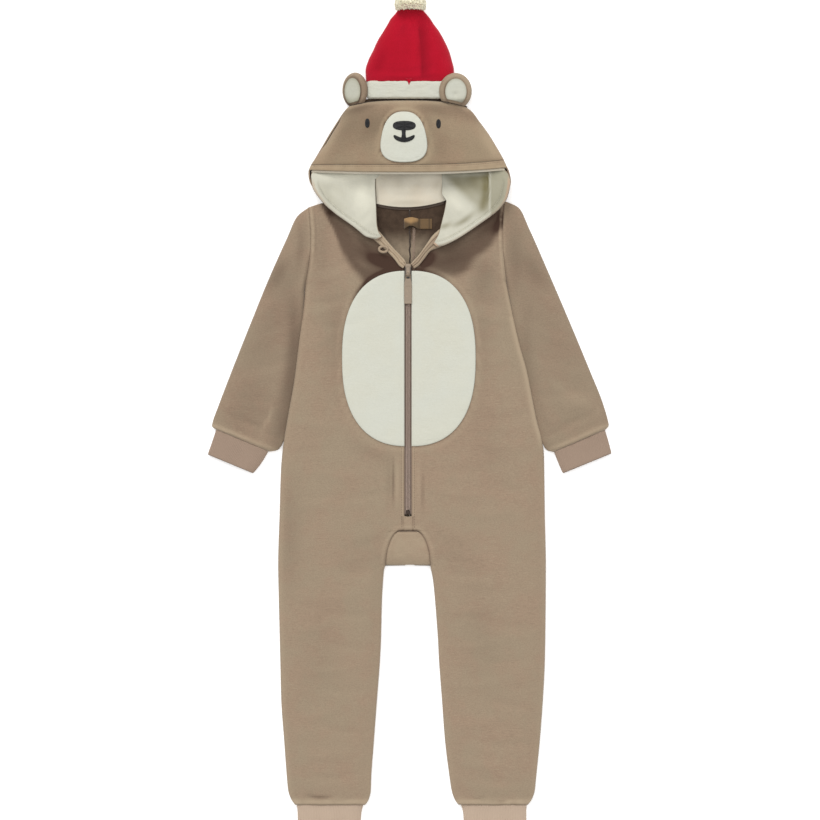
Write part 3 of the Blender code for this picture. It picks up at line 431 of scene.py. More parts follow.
# Painted shading of the sleeves: painted shade above nought, painted light below it
SLEEVE_PAINTED_SHADING = {
    "right": [
        Fold(-162, 70, 130, 10, 0.42, 83), Fold(-178, -30, 40, 9, 0.25, 70),
        Fold(-183, 190, 40, 11, 0.28, 60), Fold(-190, 120, 110, 26, 0.12, 64),
        Fold(-150, 230, 50, 6, 0.2, 86), Fold(-225, 6, 60, 30, 0.14, 60, 0),
        Fold(-165, 4, 60, 8, 0.25, 78, 0), Fold(-196, -12, 26, 2.2, -0.3, 62),
    ],
    "left": [
        Fold(168, 70, 130, 9, 0.14, -83), Fold(184, -34, 40, 9, 0.1, -70), Fold(176, 196, 44, 12, 0.22, -60),
        Fold(196, 120, 110, 24, 0.06, -64), Fold(150, 215, 80, 12, 0.22, -88, 0),
        Fold(232, 20, 60, 9, -0.1, -30),
    ],
}
# Painted shading of the hood's face: painted shade above nought, painted light below it
HOOD_PAINTED_SHADING = [
    Fold(-84, 396, 60, 14, 0.3, 52), Fold(-70, 424, 44, 8, 0.35, 18), Fold(34, 424, 44, 8, 0.2, -4),
    Fold(80, 416, 44, 8, 0.26, -30), Fold(-52, 400, 48, 16, 0.36, 70), Fold(-96, 360, 50, 12, 0.12, 30),
    Fold(117, 372, 46, 9, -0.6, -58, 0), Fold(48, 417, 36, 8, 0.2, -12),
    Fold(-112, 374, 50, 6, -0.3, 58, 0), Fold(-8, 430, 40, 4, -0.3, 0, 0),
    Fold(46, 372, 40, 12, 0.14, 100), Fold(-30, 412, 40, 9, 0.22, 70), Fold(26, 408, 34, 8, 0.18, 110),
]
# Painted shading of the hat: painted shade above nought, painted light below it
HAT_PAINTED_SHADING = [
    Fold(9, 506, 60, 5, -0.2, 90, 0), Fold(-40, 488, 34, 9, 0.2, 72), Fold(3, 547, 20, 6, -0.5, 0, 0),
    Fold(4, 466, 70, 3, 0.22, 2), Fold(-6, 540, 24, 5, 0.18, 80), Fold(48, 482, 34, 7, -0.12, 108),
]
# Painted shading of the hood's lining: painted shade above nought, and painted light below it that offsets
# the brim's shadow
LINING_PAINTED_SHADING = [
    Fold(-108, 304, 46, 14, 0.25, -55), Fold(-62, 302, 52, 14, -0.45, 90, 0), Fold(104, 284, 22, 8, 0.3, 60),
    Fold(108, 306, 34, 5, 0.3, 86), Fold(113.5, 314, 34, 1.6, 0.3, 90),
    Fold(-43, 304, 20, 1.5, 0.25, 90), Fold(-47, 322, 20, 4, -0.5, 90), Fold(-60, 306, 46, 12, 0.06, 60),
    Fold(-84, 331, 60, 8, -1.0, 0, 0), Fold(26, 328, 42, 7, -0.7, 0, 0), Fold(84, 331, 42, 3.5, -0.5, 2, 0),
    Fold(-14, 322, 26, 9, 0.12, 64), Fold(-26, 306, 30, 8, -0.15, 60), Fold(14, 322, 30, 8, 0.14, 66),
    Fold(30, 306, 30, 9, -0.12, 64), Fold(42, 322, 24, 7, 0.25, 60), Fold(4, 292, 52, 4, 0.16, 0, -0.1),
    Fold(52, 259, 14, 4, 0.5, 20), Fold(78, 266, 26, 4, 0.55, 32), Fold(66, 292, 30, 8, -0.3, -44),
    Fold(92, 330, 34, 6, 0.18, -8), Fold(-104, 304, 36, 6, -0.15, -48),
]

# The back's creases lift it off the surface, so they only rise
BACK_FOLDS = [
    Fold(-86, 226, 70, 10, 0.9, 12), Fold(78, 214, 64, 9, 1.0, -14), Fold(-104, 150, 60, 8, 1.1, 10),
    Fold(98, 142, 66, 9, 1.0, -8), Fold(-60, 92, 82, 10, 0.8, 3), Fold(72, 70, 74, 8, 0.9, -4),
    Fold(-112, 20, 62, 9, 1.0, -8), Fold(118, -8, 58, 10, 1.1, 9), Fold(-74, -56, 90, 8, 0.9, 4),
    Fold(64, -84, 84, 9, 0.8, -3), Fold(-120, -122, 56, 8, 1.0, 12), Fold(116, -140, 60, 9, 1.0, -11),
    Fold(-46, -182, 44, 7, 1.2, 28), Fold(48, -186, 46, 8, 1.1, -26), Fold(-108, -240, 84, 9, 0.9, 5),
    Fold(112, -252, 80, 8, 1.0, -4), Fold(-96, -318, 66, 8, 0.9, -7), Fold(120, -330, 70, 9, 0.8, 8),
    Fold(-118, -392, 72, 9, 1.0, 4), Fold(100, -404, 64, 8, 0.9, -5), Fold(-98, -462, 60, 8, 1.0, -8),
    Fold(128, -476, 58, 9, 0.9, 7), Fold(-112, -516, 52, 7, 1.1, 4), Fold(116, -514, 50, 8, 1.0, -4),
]

# Creases and ridges of the other pieces
SLEEVE_FOLDS = {
    "right": [
        Fold(-158, 238, 44, 7, -1.0, 62), Fold(-170, 214, 50, 8, 0.9, 54), Fold(-160, 176, 46, 7, -1.2, 48),
        Fold(-186, 152, 56, 8, 0.9, 40), Fold(-172, 120, 50, 7, -1.0, 30), Fold(-204, 98, 54, 8, 0.8, 24),
        Fold(-184, 66, 48, 7, -0.9, 18), Fold(-216, 44, 50, 8, 0.9, 12), Fold(-226, 16, 56, 6, -0.9, -6),
        Fold(-200, 4, 44, 7, 0.8, -22), Fold(-232, -14, 60, 5, -1.3, -20), Fold(-206, -28, 52, 5, -1.2, -26),
        Fold(-246, -2, 30, 6, 0.9, -52), Fold(-190, -18, 34, 6, 0.8, 64),
    ],
    "left": [
        Fold(156, 246, 46, 7, -0.9, -64), Fold(172, 218, 54, 8, 0.9, -58), Fold(162, 184, 48, 7, -1.1, -50),
        Fold(188, 160, 54, 7, 0.8, -44), Fold(176, 126, 52, 8, -1.0, -34), Fold(206, 102, 50, 7, 0.9, -22),
        Fold(190, 74, 46, 7, -0.8, -16), Fold(222, 52, 52, 8, 0.8, -10), Fold(214, 22, 60, 6, -0.9, 8),
        Fold(238, 8, 44, 7, 0.9, 20), Fold(240, -12, 58, 5, -1.2, 22), Fold(214, -28, 50, 5, -1.3, 24),
        Fold(254, 2, 28, 6, 0.8, 54), Fold(200, -14, 36, 6, 0.9, -62),
    ],
}

HOOD_FOLDS = [
    Fold(-96, 388, 34, 6, -0.9, 62), Fold(-104, 368, 30, 7, 0.8, 48), Fold(-62, 424, 40, 5, -0.9, 14),
    Fold(-30, 426, 44, 5, 0.8, 4), Fold(8, 427, 40, 5, -0.8, -3), Fold(44, 424, 40, 6, 0.8, -10),
    Fold(94, 392, 34, 6, -0.9, -60), Fold(104, 372, 32, 7, 0.8, -50), Fold(72, 366, 44, 7, -0.7, -18),
    Fold(-70, 362, 46, 7, 0.6, 16), Fold(60, 408, 30, 6, -0.6, -34), Fold(-76, 404, 30, 6, 0.6, 34),
]

HAT_FOLDS = [
    Fold(8.5, 510, 62, 4, 1.5, 89, 0.03), Fold(19, 508, 56, 5, -1.3, 91, 0.03),
    Fold(-22, 500, 44, 7, 0.9, 78), Fold(-36, 484, 34, 6, -0.9, 70), Fold(44, 492, 40, 7, 0.8, 104),
    Fold(-12, 536, 22, 4, -1.0, 84), Fold(30, 534, 22, 4, -1.0, 100), Fold(-6, 474, 70, 5, -0.8, 3),
    Fold(-42, 468, 28, 5, 0.8, -6), Fold(46, 470, 30, 5, 0.8, 8), Fold(3, 542, 18, 4, 1.0, 90),
]

LINING_FOLDS = [
    Fold(-30, 322, 34, 8, 1.2, 64), Fold(-14, 314, 36, 8, -1.2, 108), Fold(6, 320, 38, 11, 1.3, 74),
    Fold(22, 316, 34, 9, -1.1, 112), Fold(38, 316, 30, 8, 1.0, 70), Fold(4, 302, 60, 5, -1.2, 2),
    Fold(12, 338, 60, 6, -1.2, -4),
]
WING_FOLDS = {
    "right": [
        Fold(-66, 322, 44, 6, -0.9, 74), Fold(-88, 316, 50, 8, 0.9, 66), Fold(-104, 322, 40, 6, -0.8, 80),
        Fold(-70, 288, 46, 7, 0.8, 50), Fold(-56, 272, 36, 5, -0.8, 44), Fold(-50, 328, 26, 2.6, -1.6, 88),
    ],
    "left": [
        Fold(86, 312, 66, 9, -2.6, -43), Fold(115, 320, 60, 2.4, 1.8, 90), Fold(109, 320, 56, 3.5, -1.4, 90),
        Fold(72, 282, 44, 8, 1.4, -36), Fold(62, 262, 34, 5, -0.8, -40), Fold(74, 334, 34, 7, 0.9, 86),
        Fold(98, 282, 36, 6, 0.9, -30),
    ],
}


# ---------------------------------------------------------------- the lie of the garment

def rounded(distance, reach):
    """0 at a folded edge, and up like a quarter of an oval to 1 at its reach."""
    k = 1 - clamp(distance / reach)
    return math.sqrt(1 - k**FOLD_POWER)


def curl(distance, rise):
    """How far the underside lifts near a seam: all of rise at the seam, 0 at that distance in."""
    k = 1 - clamp(distance / rise)
    return rise * (1 - math.sqrt(max(1 - k * k, 0)))


def creases(folds, x, y):
    """The height that a table of hand-placed folds adds at a point."""
    height = 0.0
    for fold in folds:
        dx, dy = x - fold.x, y - fold.y
        if dx * dx + dy * dy > fold.length * fold.length:
            continue
        turn = math.radians(fold.turn)
        along = (dx * math.cos(turn) + dy * math.sin(turn)) / fold.length
        across = dy * math.cos(turn) - dx * math.sin(turn)
        across -= fold.bow * fold.length * along * along
        height += fold.rise * (1 - along * along) ** 2 * hill(across, fold.width)
    return height


def swell(x, y, size, seed=0.0):
    """A smooth unevenness from -1 to 1 with bumps of that size."""
    return noise.noise(Vector((x / size, y / size, seed)))


def pile(x, y, seed=0.0):
    """The nap's clumps and the cloth's gentle unevenness, in millimetres."""
    return 0.14 * swell(x, y * 1.7, 7, seed) + 0.3 * swell(x, y * 1.3, 26, seed + 5)


def seam_x(side, y):
    """The half-width of the body at a height: the armhole above the underarm, the side seam below."""
    under_x, under_y = UNDERARM[side]
    if y <= under_y:
        return SIDE_SEAM[side](y)
    tip_x, tip_y = SHOULDER_TIP[side]
    share = clamp((y - under_y) / (tip_y - under_y))
    return mix(under_x, tip_x, share) - ARMHOLE_BOW[side] * math.sin(math.pi * share)


def shoulder_y(side, x):
    """The height of the shoulder seam."""
    neck, tip = NECK_POINT[side], SHOULDER_TIP[side]
    share = (x - neck[0]) / (tip[0] - neck[0])
    return mix(neck[1], tip[1], share) + SHOULDER_BOW[side] * math.sin(math.pi * clamp(share))


def gusset_half(y):
    """The gusset is an arch: a quarter oval from its flat top out to the crotch."""
    share = clamp((GUSSET_TOP - y) / (GUSSET_TOP - CROTCH))
    return mix(GUSSET_FLAT, GUSSET_HALF, (1 - (1 - share) ** 2) ** 0.62)


def inseam_x(side, y):
    """The half-width at the inseam, which is the gusset's corner above the crotch."""
    return INSEAM[side](min(y, CROTCH))


def closing(y, line, reach):
    """1 past a line, falling to 0 as y climbs away from it: the corner where an edge turns."""
    return 1 - rounded(y - line, reach)


def seam_dip(distance, deep, width):
    """A sewn seam: a narrow valley between two soft shoulders."""
    return 0.35 * deep * hill(distance - 2.6 * width, 1.4 * width) - deep * hill(distance, width)


def belly_far(side, row):
    """The half-width of the belly patch in a row, which runs from -1 at its foot to 1 at its top."""
    power = BELLY["power"]
    return BELLY["half_width"] * (1 - abs(row) ** power) ** (1 / power) + SIGN[side] * BELLY["x"]


def belly_edge(x, y):
    """Roughly how far in from the patch's sewn edge a point lies."""
    across, up = (x - BELLY["x"]) / BELLY["half_width"], (y - BELLY["y"]) / BELLY["half_height"]
    return (1 - oval(across, up, BELLY["power"])) * BELLY["half_width"]


def gusset_distance(x, y):
    """How far a point lies from the seam round the gusset."""
    if y >= GUSSET_TOP:
        return math.hypot(max(x - GUSSET_FLAT, 0), y - GUSSET_TOP)
    return min(abs(x - gusset_half(y)), max(GUSSET_TOP - y, 0) if x < GUSSET_FLAT else 1e9)


def front_share(side, x, y):
    """1 over the middle of the front, falling to 0 at its folded and sewn edges."""
    outwards = math.hypot(seam_x(side, y) - x, max(y - UNDERARM[side][1], 0))
    inwards = math.hypot(max(x - GUSSET_HALF, 0), y - CROTCH) if y > CROTCH else x - inseam_x(side, y)
    share = rounded(outwards, EDGE_REACH) * rounded(inwards, CROTCH_REACH)
    return share * rounded(shoulder_y(side, x) - y, EDGE_REACH)


def front_top(side, x, y):
    """The height of the front's outer face at x from the centre, which is positive on both sides."""
    share = front_share(side, x, y)
    base = SEAM_RISE + RISER
    height = base + (BODY_HEIGHT(y) - base) * share
    height += share * (creases(FRONT_FOLDS, SIGN[side] * x, y) + pile(SIGN[side] * x, y, 3.0))
    if y > UNDERARM[side][1] - 6:
        seam = seam_x(side, y) - x
        bumps = 1 + 0.7 * swell(SIGN[side] * x, y, 5, 142.0)
        valley = seam_dip(seam, mix(0.5, 1.2, smooth((226 - y) / 20)), 2.0)
        height += (valley + 0.7 * hill(seam - 3.4, 2.2) * bumps) * smooth((y - UNDERARM[side][1] + 6) / 12)
    if CROTCH < y < GUSSET_TOP + 12:
        height += seam_dip(gusset_distance(x, y), 1.1, 1.6)
    if ZIP_END > y > GUSSET_TOP:
        height -= 0.5 * hill(x - 7.0, 1.0)
    if ZIP_END <= y <= ZIP_TOP:
        height -= 1.1 * hill(x - ZIP_HALF + 0.6, 1.5) + 0.45 * hill(x - TOPSTITCH, 0.9)
    return max(height, base)


def back_low(side, x, y):
    """The height of the back's outer face, which is flat but for its curled seams and its creases."""
    lift = closing(y, UNDERARM[side][1], SEAM_RISE) * curl(seam_x(side, y) - x, SEAM_RISE)
    lift = max(lift, closing(y, CROTCH, SEAM_RISE) * curl(x - inseam_x(side, y), SEAM_RISE))
    lift = max(lift, curl(shoulder_y(side, x) - y, SEAM_RISE))
    return max(lift, creases(BACK_FOLDS, SIGN[side] * x, y))


def chest_shade(side, x, y):
    """Painted shadow of the hood on the chest, up to an edge that is crisp at the shoulder and soft below."""
    inside = CHEST_SHADOW_EDGE[side](y) - x + 0.8 * swell(x, y, 9, 150.0)
    if side == "right":
        soft = mix(4, 15, smooth((262 - y) / 70))
        return 0.74 * smooth(inside / soft + 0.5) * smooth((y - 168) / 20)
    return 0.72 * smooth(inside / mix(20, 14, smooth((y - 220) / 20)) + 0.5) * smooth((y - 180) / 18)


def front_shade(side, x, y):
    """The front's painted shade and light at x from the centre: the hood's shadow on the chest, shade in its
    seams and along the belly patch's upper edge, and painted light on ridges, edges and the roll at the
    ankle.
    """
    world_x = SIGN[side] * x
    shade = creases(FRONT_PAINTED_SHADING, world_x, y)
    if y > 160:
        shade += chest_shade(side, x, y)
    under = UNDERARM[side][1]
    seam = seam_x(side, y) - x
    wave = 0.5 * swell(world_x, y, 5, 140.0)
    if y > under - 50:
        low = smooth((228 - y) / 24)
        bumps = 0.8 + 0.9 * swell(world_x, y, 5, 141.0)
        ridge = 0.12 * hill(seam - 7, 1.6) - 0.5 * hill(seam - 3.2, 2.2) * bumps
        ridge += 0.1 * hill(seam + wave, 1.0)
        if side == "right":
            below = 0.3 * hill(seam, 2.0) - 0.2 * hill(seam - 4, 3)
        else:
            below = -0.6 * hill(seam - 2, 3.4)
        shade += mix(ridge, below, low)
    else:
        shade -= mix(0.2, 0.85, (side == "left") * smooth((y + 60) / 30)) * hill(seam - 2, 4.5)
    if y < CROTCH:
        shade -= 0.16 * hill(x - inseam_x(side, y) - 2, 6)
    if CROTCH - 4 < y < GUSSET_TOP + 14:
        distance = gusset_distance(x, y)
        top = smooth((22 - x) / 8)
        shade += mix(0.42, 0.85, top) * hill(distance + wave, mix(1.0, 1.5, top))
        shade -= 0.22 * hill(distance - 5, 2.6)
    if ZIP_END > y > GUSSET_TOP:
        shade += 0.4 * hill(x - 7.0, 0.8) - 0.15 * hill(x, 4.5)
    if ZIP_END - 1 <= y <= ZIP_TOP:
        shade += 0.3 * hill(x - ZIP_HALF, 1.0) - 0.3 * hill(x - TOPSTITCH + 0.8, 1.6)
    edge = -belly_edge(world_x, y)
    if -1 < edge < 12:
        upper = smooth((y - 140) / 40) * mix(1, 0.12, smooth((world_x + 20) / 50))
        shade += mix(0.12, 1.2, upper) * hill(edge, mix(2.0, 3.2, upper))
        shade -= 0.2 * (1 - upper) * hill(edge - 4, 2.5)
    if y < ANKLE + 30:
        shade -= 0.75 * hill(y - ANKLE - 1, 4) * (1 + 0.5 * swell(world_x, y, 9, 151.0))
    return shade


def front_inner(side, y):
    """Where the front ends at the centre: neckline, zip, centre seam, gusset and inseam in turn."""
    if y > ZIP_TOP:
        return NECKLINE[side](y)
    if y >= ZIP_END:
        return ZIP_HALF
    if y > GUSSET_TOP:
        return SEAM / 2
    if y > CROTCH:
        return gusset_half(y) + SEAM
    return inseam_x(side, y)


def back_inner(side, y):
    """Where the back ends at the centre: the centre seam, then the inseam."""
    if y > CROTCH:
        return SIGN[side] * CENTRE_BACK + GAP / 2
    return inseam_x(side, y)


def back_neck_y(x):
    """The height of the back neck's shallow curve."""
    return BACK_NECK["y"] + BACK_NECK["rise"] * ((x - BACK_NECK["x"]) / BACK_NECK["half_width"]) ** 2


SHOULDER_FALLS = [0, EDGE, 1.2, 4.5]
GUSSET_ROWS = [-172.5, -181, -194, -207]


def body_rows(side, most):
    """(height at the centre, height at the side) for each row, from the shoulder to the ankle.

    Rows where the centre's edge steps sideways stand a little apart at the side, so that none is flat.
    """
    tip, under = SHOULDER_TIP[side][1], UNDERARM[side][1]
    rows = [(NECK_Y - fall, tip - fall) for fall in SHOULDER_FALLS]
    rows += [(287, tip - 13), (271, tip - 30), (256, tip - 48), (231, tip - 66), (ZIP_TOP, under + 20)]
    rows += [(190, under + 4), (185, under + 1), (182, under), (160, 154)]
    level = [125, 80, 25, -35, -80, ZIP_END, ZIP_END - 1, GUSSET_TOP + GAP, GUSSET_TOP]
    level += GUSSET_ROWS + [CROTCH + EDGE, CROTCH]
    level += [-224, -245, -290, -360, -440, -517, -535, -545, -549]
    apart = {
        ZIP_END: 2, ZIP_END - 1: -2, GUSSET_TOP + GAP: 2, GUSSET_TOP: -1, CROTCH + EDGE: 1.5, CROTCH: -1.5,
    }
    return finer(rows + [(y, y + apart.get(y, 0)) for y in level], most)


def finer(rows, most):
    """The rows with others between them, so that no step down their first column is over most."""
    made = [rows[0]]
    for start, end in zip(rows, rows[1:]):
        count = max(math.ceil(abs(end[0] - start[0]) / most), 1)
        made += [tuple(mix(a, b, share) for a, b in zip(start, end)) for share in steps(count)[1:]]
    return made


def panel_y(side, row, x, share):
    """The first rows lie along the shoulder seam, and the others run straight between their ends."""
    fall = NECK_Y - row[0]
    if fall <= SHOULDER_FALLS[-1]:
        return shoulder_y(side, x) - fall
    return mix(row[0], row[1], clamp(share))


def edged(count):
    """Shares across a panel that crowd at its edges, with one right beside each edge."""
    beside = EDGE / PANEL_WIDTH
    return [0.0, beside] + dense(count)[1:-1] + [1 - beside, 1.0]


def hood_half(x, y):
    """The hood's half-width at a height, on the side where x is."""
    return HOOD_RIGHT(y) if x < 0 else HOOD_LEFT(y)


def hood_line(line, share):
    """The height of a line across the hood, where share runs from -1 at its right side to 1 at its left."""
    end = line.right if share < 0 else line.left
    return end + (line.centre - end) * (1 - abs(share) ** line.bend)


def head_seam_y(x):
    """The height of the seam over the bear's brow."""
    end = HEAD_SEAM.right if x < 0 else HEAD_SEAM.left
    return hood_line(HEAD_SEAM, clamp(x / hood_half(x, end), -1, 1))


def hood_top(x, y):
    """The height of the hood's outer face, which rises from its sides and the head seam to the brim."""
    share = clamp(abs(x) / hood_half(x, y))
    base = HOOD_RISE(y) + RISER
    crown = max(1 - share**2.6, 0) ** 0.56 * rounded(head_seam_y(x) - y, HOOD_SEAM_REACH)
    return base + (HOOD_HEIGHT - base + creases(HOOD_FOLDS, x, y) + pile(x, y, 9.0)) * crown


def hood_point(share, first, last, down):
    """A point in plan on the hood, at a share from side to side and a share down between two lines."""
    y = mix(hood_line(first, share), hood_line(last, share), down)
    side_y = mix(hood_line(first, math.copysign(1, share)), hood_line(last, math.copysign(1, share)), down)
    return share * hood_half(share, side_y), y


WING_CURVES = {side: curves_down(WING[side]) for side in SIDES}
WING_ROWS = len(WING["right"]) - 1


def wing_point(side, row, share):
    """A point on the underside of the hood's side, from its inner edge to its outer one."""
    inner_x, inner_y, inner_z, outer_x, outer_y, outer_z = (curve(row) for curve in WING_CURVES[side])
    x, y = mix(inner_x, outer_x, share), mix(inner_y, outer_y, share)
    z = mix(inner_z, outer_z, share) + 1.2 * math.sin(math.pi * share)
    fade = smooth(share * 5) * smooth((1 - share) * 12) * smooth((WING_ROWS - row) / 2)
    return SIGN[side] * x, y, z + fade * creases(WING_FOLDS[side], SIGN[side] * x, y)


def wing_width(side, row):
    """The width of the hood's side in a row of its table."""
    inner_x, inner_y, _, outer_x, outer_y, _ = (curve(row) for curve in WING_CURVES[side])
    return math.hypot(outer_x - inner_x, outer_y - inner_y)


def ear_under(side, x, y):
    """The height of an ear's underside, which climbs from the head seam over the hat's band."""
    ear = EARS[side]
    up = smooth((y - ear.y + ear.half_height) / 15)
    inward = smooth((ear.half_width - SIGN[side] * (x - ear.x)) / (2 * ear.half_width))
    if side == "left":
        return mix(2, 14.2, up)
    return mix(4, 4 + 6.4 * inward**2, up)


def ear_reach(ear, x, y):
    """How far out a point lies in an ear, from 0 at its middle to 1 at its edge."""
    return math.hypot((x - ear.x) / ear.half_width, (y - ear.y) / ear.half_height)


def ear_top(side, x, y):
    """The height of an ear's face, dished inside a full rim."""
    reach = ear_reach(EARS[side], x, y)
    dish = 2.0 * (1 - clamp(reach / 0.8) ** 2)
    return ear_under(side, x, y) + EAR_THICK * math.sqrt(max(1 - clamp(reach) ** 4, 0)) - dish


def ear_outline(ear, turn, reach, clear=EAR_BASE_CLEAR):
    """A point in plan on an ear, which is cut off a little above the head seam."""
    x = ear.x + ear.half_width * reach * math.cos(turn)
    y = ear.y + ear.half_height * reach * math.sin(turn)
    return x, max(y, head_seam_y(x) + clear)


def zip_level(y):
    """The height of the front's face beside the zip, clear of the creases."""
    return BODY_HEIGHT(y)


# ---------------------------------------------------------------- sizes and colours

def length_property(name, description, default, low, high):
    """A size in metres, with its default given in millimetres."""
    return bpy.props.FloatProperty(
        name=name, description=description, default=default * MM, min=low * MM, max=high * MM,
        unit="LENGTH", subtype="DISTANCE", precision=5,
    )


def colour_property(name, description, default):
    return bpy.props.FloatVectorProperty(
        name=name, description=description, default=default, size=3, min=0, max=1, subtype="COLOR"
    )


class BearSizes(bpy.types.PropertyGroup):
    """The sizes of the garment's texture, knit and stitching."""

    nap_clump: length_property("Nap clump", "Size of the fleece's smallest clumps", 1.3, 0.3, 6)
    nap_depth: length_property("Nap depth", "Depth of the fleece's nap", 0.5, 0, 2)
    rib_pitch: length_property("Rib pitch", "Distance between two ribs of a cuff", 2.3, 1, 6)
    rib_depth: length_property("Rib depth", "Depth of the groove between two ribs", 0.4, 0, 1)
    stitch_pitch: length_property("Stitch pitch", "Distance between two topstitches", 3.4, 2, 8)
    stitch_length: length_property("Stitch length", "Length of one topstitch", 2.4, 1, 6)
    stitch_radius: length_property("Stitch radius", "Radius of the sewing thread", 0.22, 0.1, 0.6)
    satin_pitch: length_property("Satin pitch", "Distance between two threads of the face", 0.8, 0.4, 2)
    tooth_pitch: length_property("Tooth pitch", "Distance between a zip tape's teeth", 1.6, 1, 3)
    tuft_length: length_property("Tuft length", "Length of the pompom's longest tufts", 3.6, 1, 12)
    tufts: bpy.props.IntProperty(
        name="Tufts", description="How many tufts the pompom has", default=3600, min=100
    )


class BearColours(bpy.types.PropertyGroup):
    """The colours of the garment's cloths, threads and metal, and of the floor."""

    tan: colour_property("Tan fleece", "The body, sleeves and hood", (0.312, 0.244, 0.169))
    tan_rose: colour_property("Tan fleece, rosy", "Where it lies another way", (0.323, 0.231, 0.161))
    tan_dark: colour_property("Tan fleece, dark", "Between the clumps of the nap", (0.196, 0.148, 0.101))
    # Painted shade: the colour the fleece is darkened towards where shade is painted on it
    tan_painted_shade: colour_property("Tan fleece, painted shade", "Where the nap lies away", (0.058, 0.032, 0.022))
    # The reverse's own dark brown, darkened further to paint the shade inside the neck, and a lit copy that
    # paints light on it towards the zip
    inside: colour_property("Fleece, inside", "The knitted reverse of the fleece", (0.042, 0.027, 0.018))
    inside_lit: colour_property("Fleece, inside, lit", "Its reverse in the light", (0.30, 0.235, 0.165))
    rib: colour_property("Rib", "The knitted cuffs", (0.342, 0.248, 0.186))
    # Painted light: the same rib as the sleeves' cuffs, made paler for the light that the ankles' cuffs catch
    rib_painted_light: colour_property("Rib, painted light", "The knitted cuffs at the ankles", (0.497, 0.381, 0.288))
    cream: colour_property("Cream plush", "The belly, muzzle and hat band", (0.570, 0.575, 0.500))
    lining: colour_property("Lining", "The lining of the hood's sides", (0.545, 0.530, 0.440))
    # Painted light: the lining behind the head is the same plush as the sides', made paler against the shade
    # under the brim
    lining_back: colour_property("Lining, back", "The lining behind the head", (0.630, 0.585, 0.480))
    pompom: colour_property("Pompom", "The pompom's plush", (0.90, 0.85, 0.67))
    cream_dark: colour_property("Cream plush, dark", "Between the clumps of the plush", (0.40, 0.385, 0.30))
    # Painted shade: the olive colour the plush is darkened towards where shade is painted on it
    cream_painted_shade: colour_property("Cream plush, painted shade", "Where the plush lies away", (0.14, 0.118, 0.045))
    red: colour_property("Red plush", "The hat", (0.392, 0.0033, 0.0165))
    red_dark: colour_property("Red plush, dark", "Between the clumps of its plush", (0.24, 0.002, 0.009))
    # Painted shade: the colour the hat's plush is darkened towards where shade is painted on it
    red_painted_shade: colour_property("Red plush, painted shade", "Where the hat's plush lies away", (0.11, 0.001, 0.006))
    tape: colour_property("Neck tape", "The twill tape behind the neck", (0.085, 0.058, 0.043))
    label: colour_property("Label", "The bare woven label", (0.40, 0.235, 0.095))
    black: colour_property("Black thread", "The eyes, nose and mouth", (0.008, 0.008, 0.009))
    zip_tape: colour_property("Zip tape", "The woven tapes of the zip", (0.290, 0.215, 0.172))
    zip_coil: colour_property("Zip coil", "The teeth of the zip", (0.46, 0.350, 0.285))
    metal: colour_property("Painted metal", "The slider and the pull", (0.26, 0.195, 0.135))
    brown_thread: colour_property(
        "Brown thread", "The neck's seam and the zip's stop", (0.045, 0.027, 0.018)
    )
    tan_thread: colour_property("Tan thread", "The topstitches on the fleece", (0.13, 0.085, 0.055))
    cream_thread: colour_property("Cream thread", "The stitches on the plush", (0.54, 0.53, 0.44))
    floor: colour_property("Floor", "The plain surface that the garment lies on", (0.95, 0.95, 0.95))


def size(name):
    """A size from the sidebar, in millimetres."""
    return getattr(bpy.context.scene.bear_sizes, name) / MM


def colour(name):
    """A colour from the sidebar."""
    return tuple(getattr(bpy.context.scene.bear_colours, name))


# ---------------------------------------------------------------- materials

class Wire:
    """A socket of a material's tree. Arithmetic on it adds Math nodes."""

    def __init__(self, tree, socket):
        self.tree, self.socket = tree, socket

    def maths(self, operation, first, second):
        node = self.tree.nodes.new("ShaderNodeMath")
        node.operation = operation
        for socket, value in zip(node.inputs, (first, second)):
            connect(self.tree, socket, value)
        return Wire(self.tree, node.outputs[0])

    def __add__(self, other):
        return self.maths("ADD", self, other)

    def __sub__(self, other):
        return self.maths("SUBTRACT", self, other)

    def __rsub__(self, other):
        return self.maths("SUBTRACT", other, self)

    def __mul__(self, other):
        return self.maths("MULTIPLY", self, other)

    __radd__, __rmul__ = __add__, __mul__


def connect(tree, socket, value):
    """Links a wire to a socket, or sets the socket to a number, a vector or a colour."""
    if isinstance(value, Wire):
        tree.links.new(value.socket, socket)
    elif isinstance(value, tuple) and socket.type == "RGBA":
        socket.default_value = (*value, 1)
    else:
        socket.default_value = value


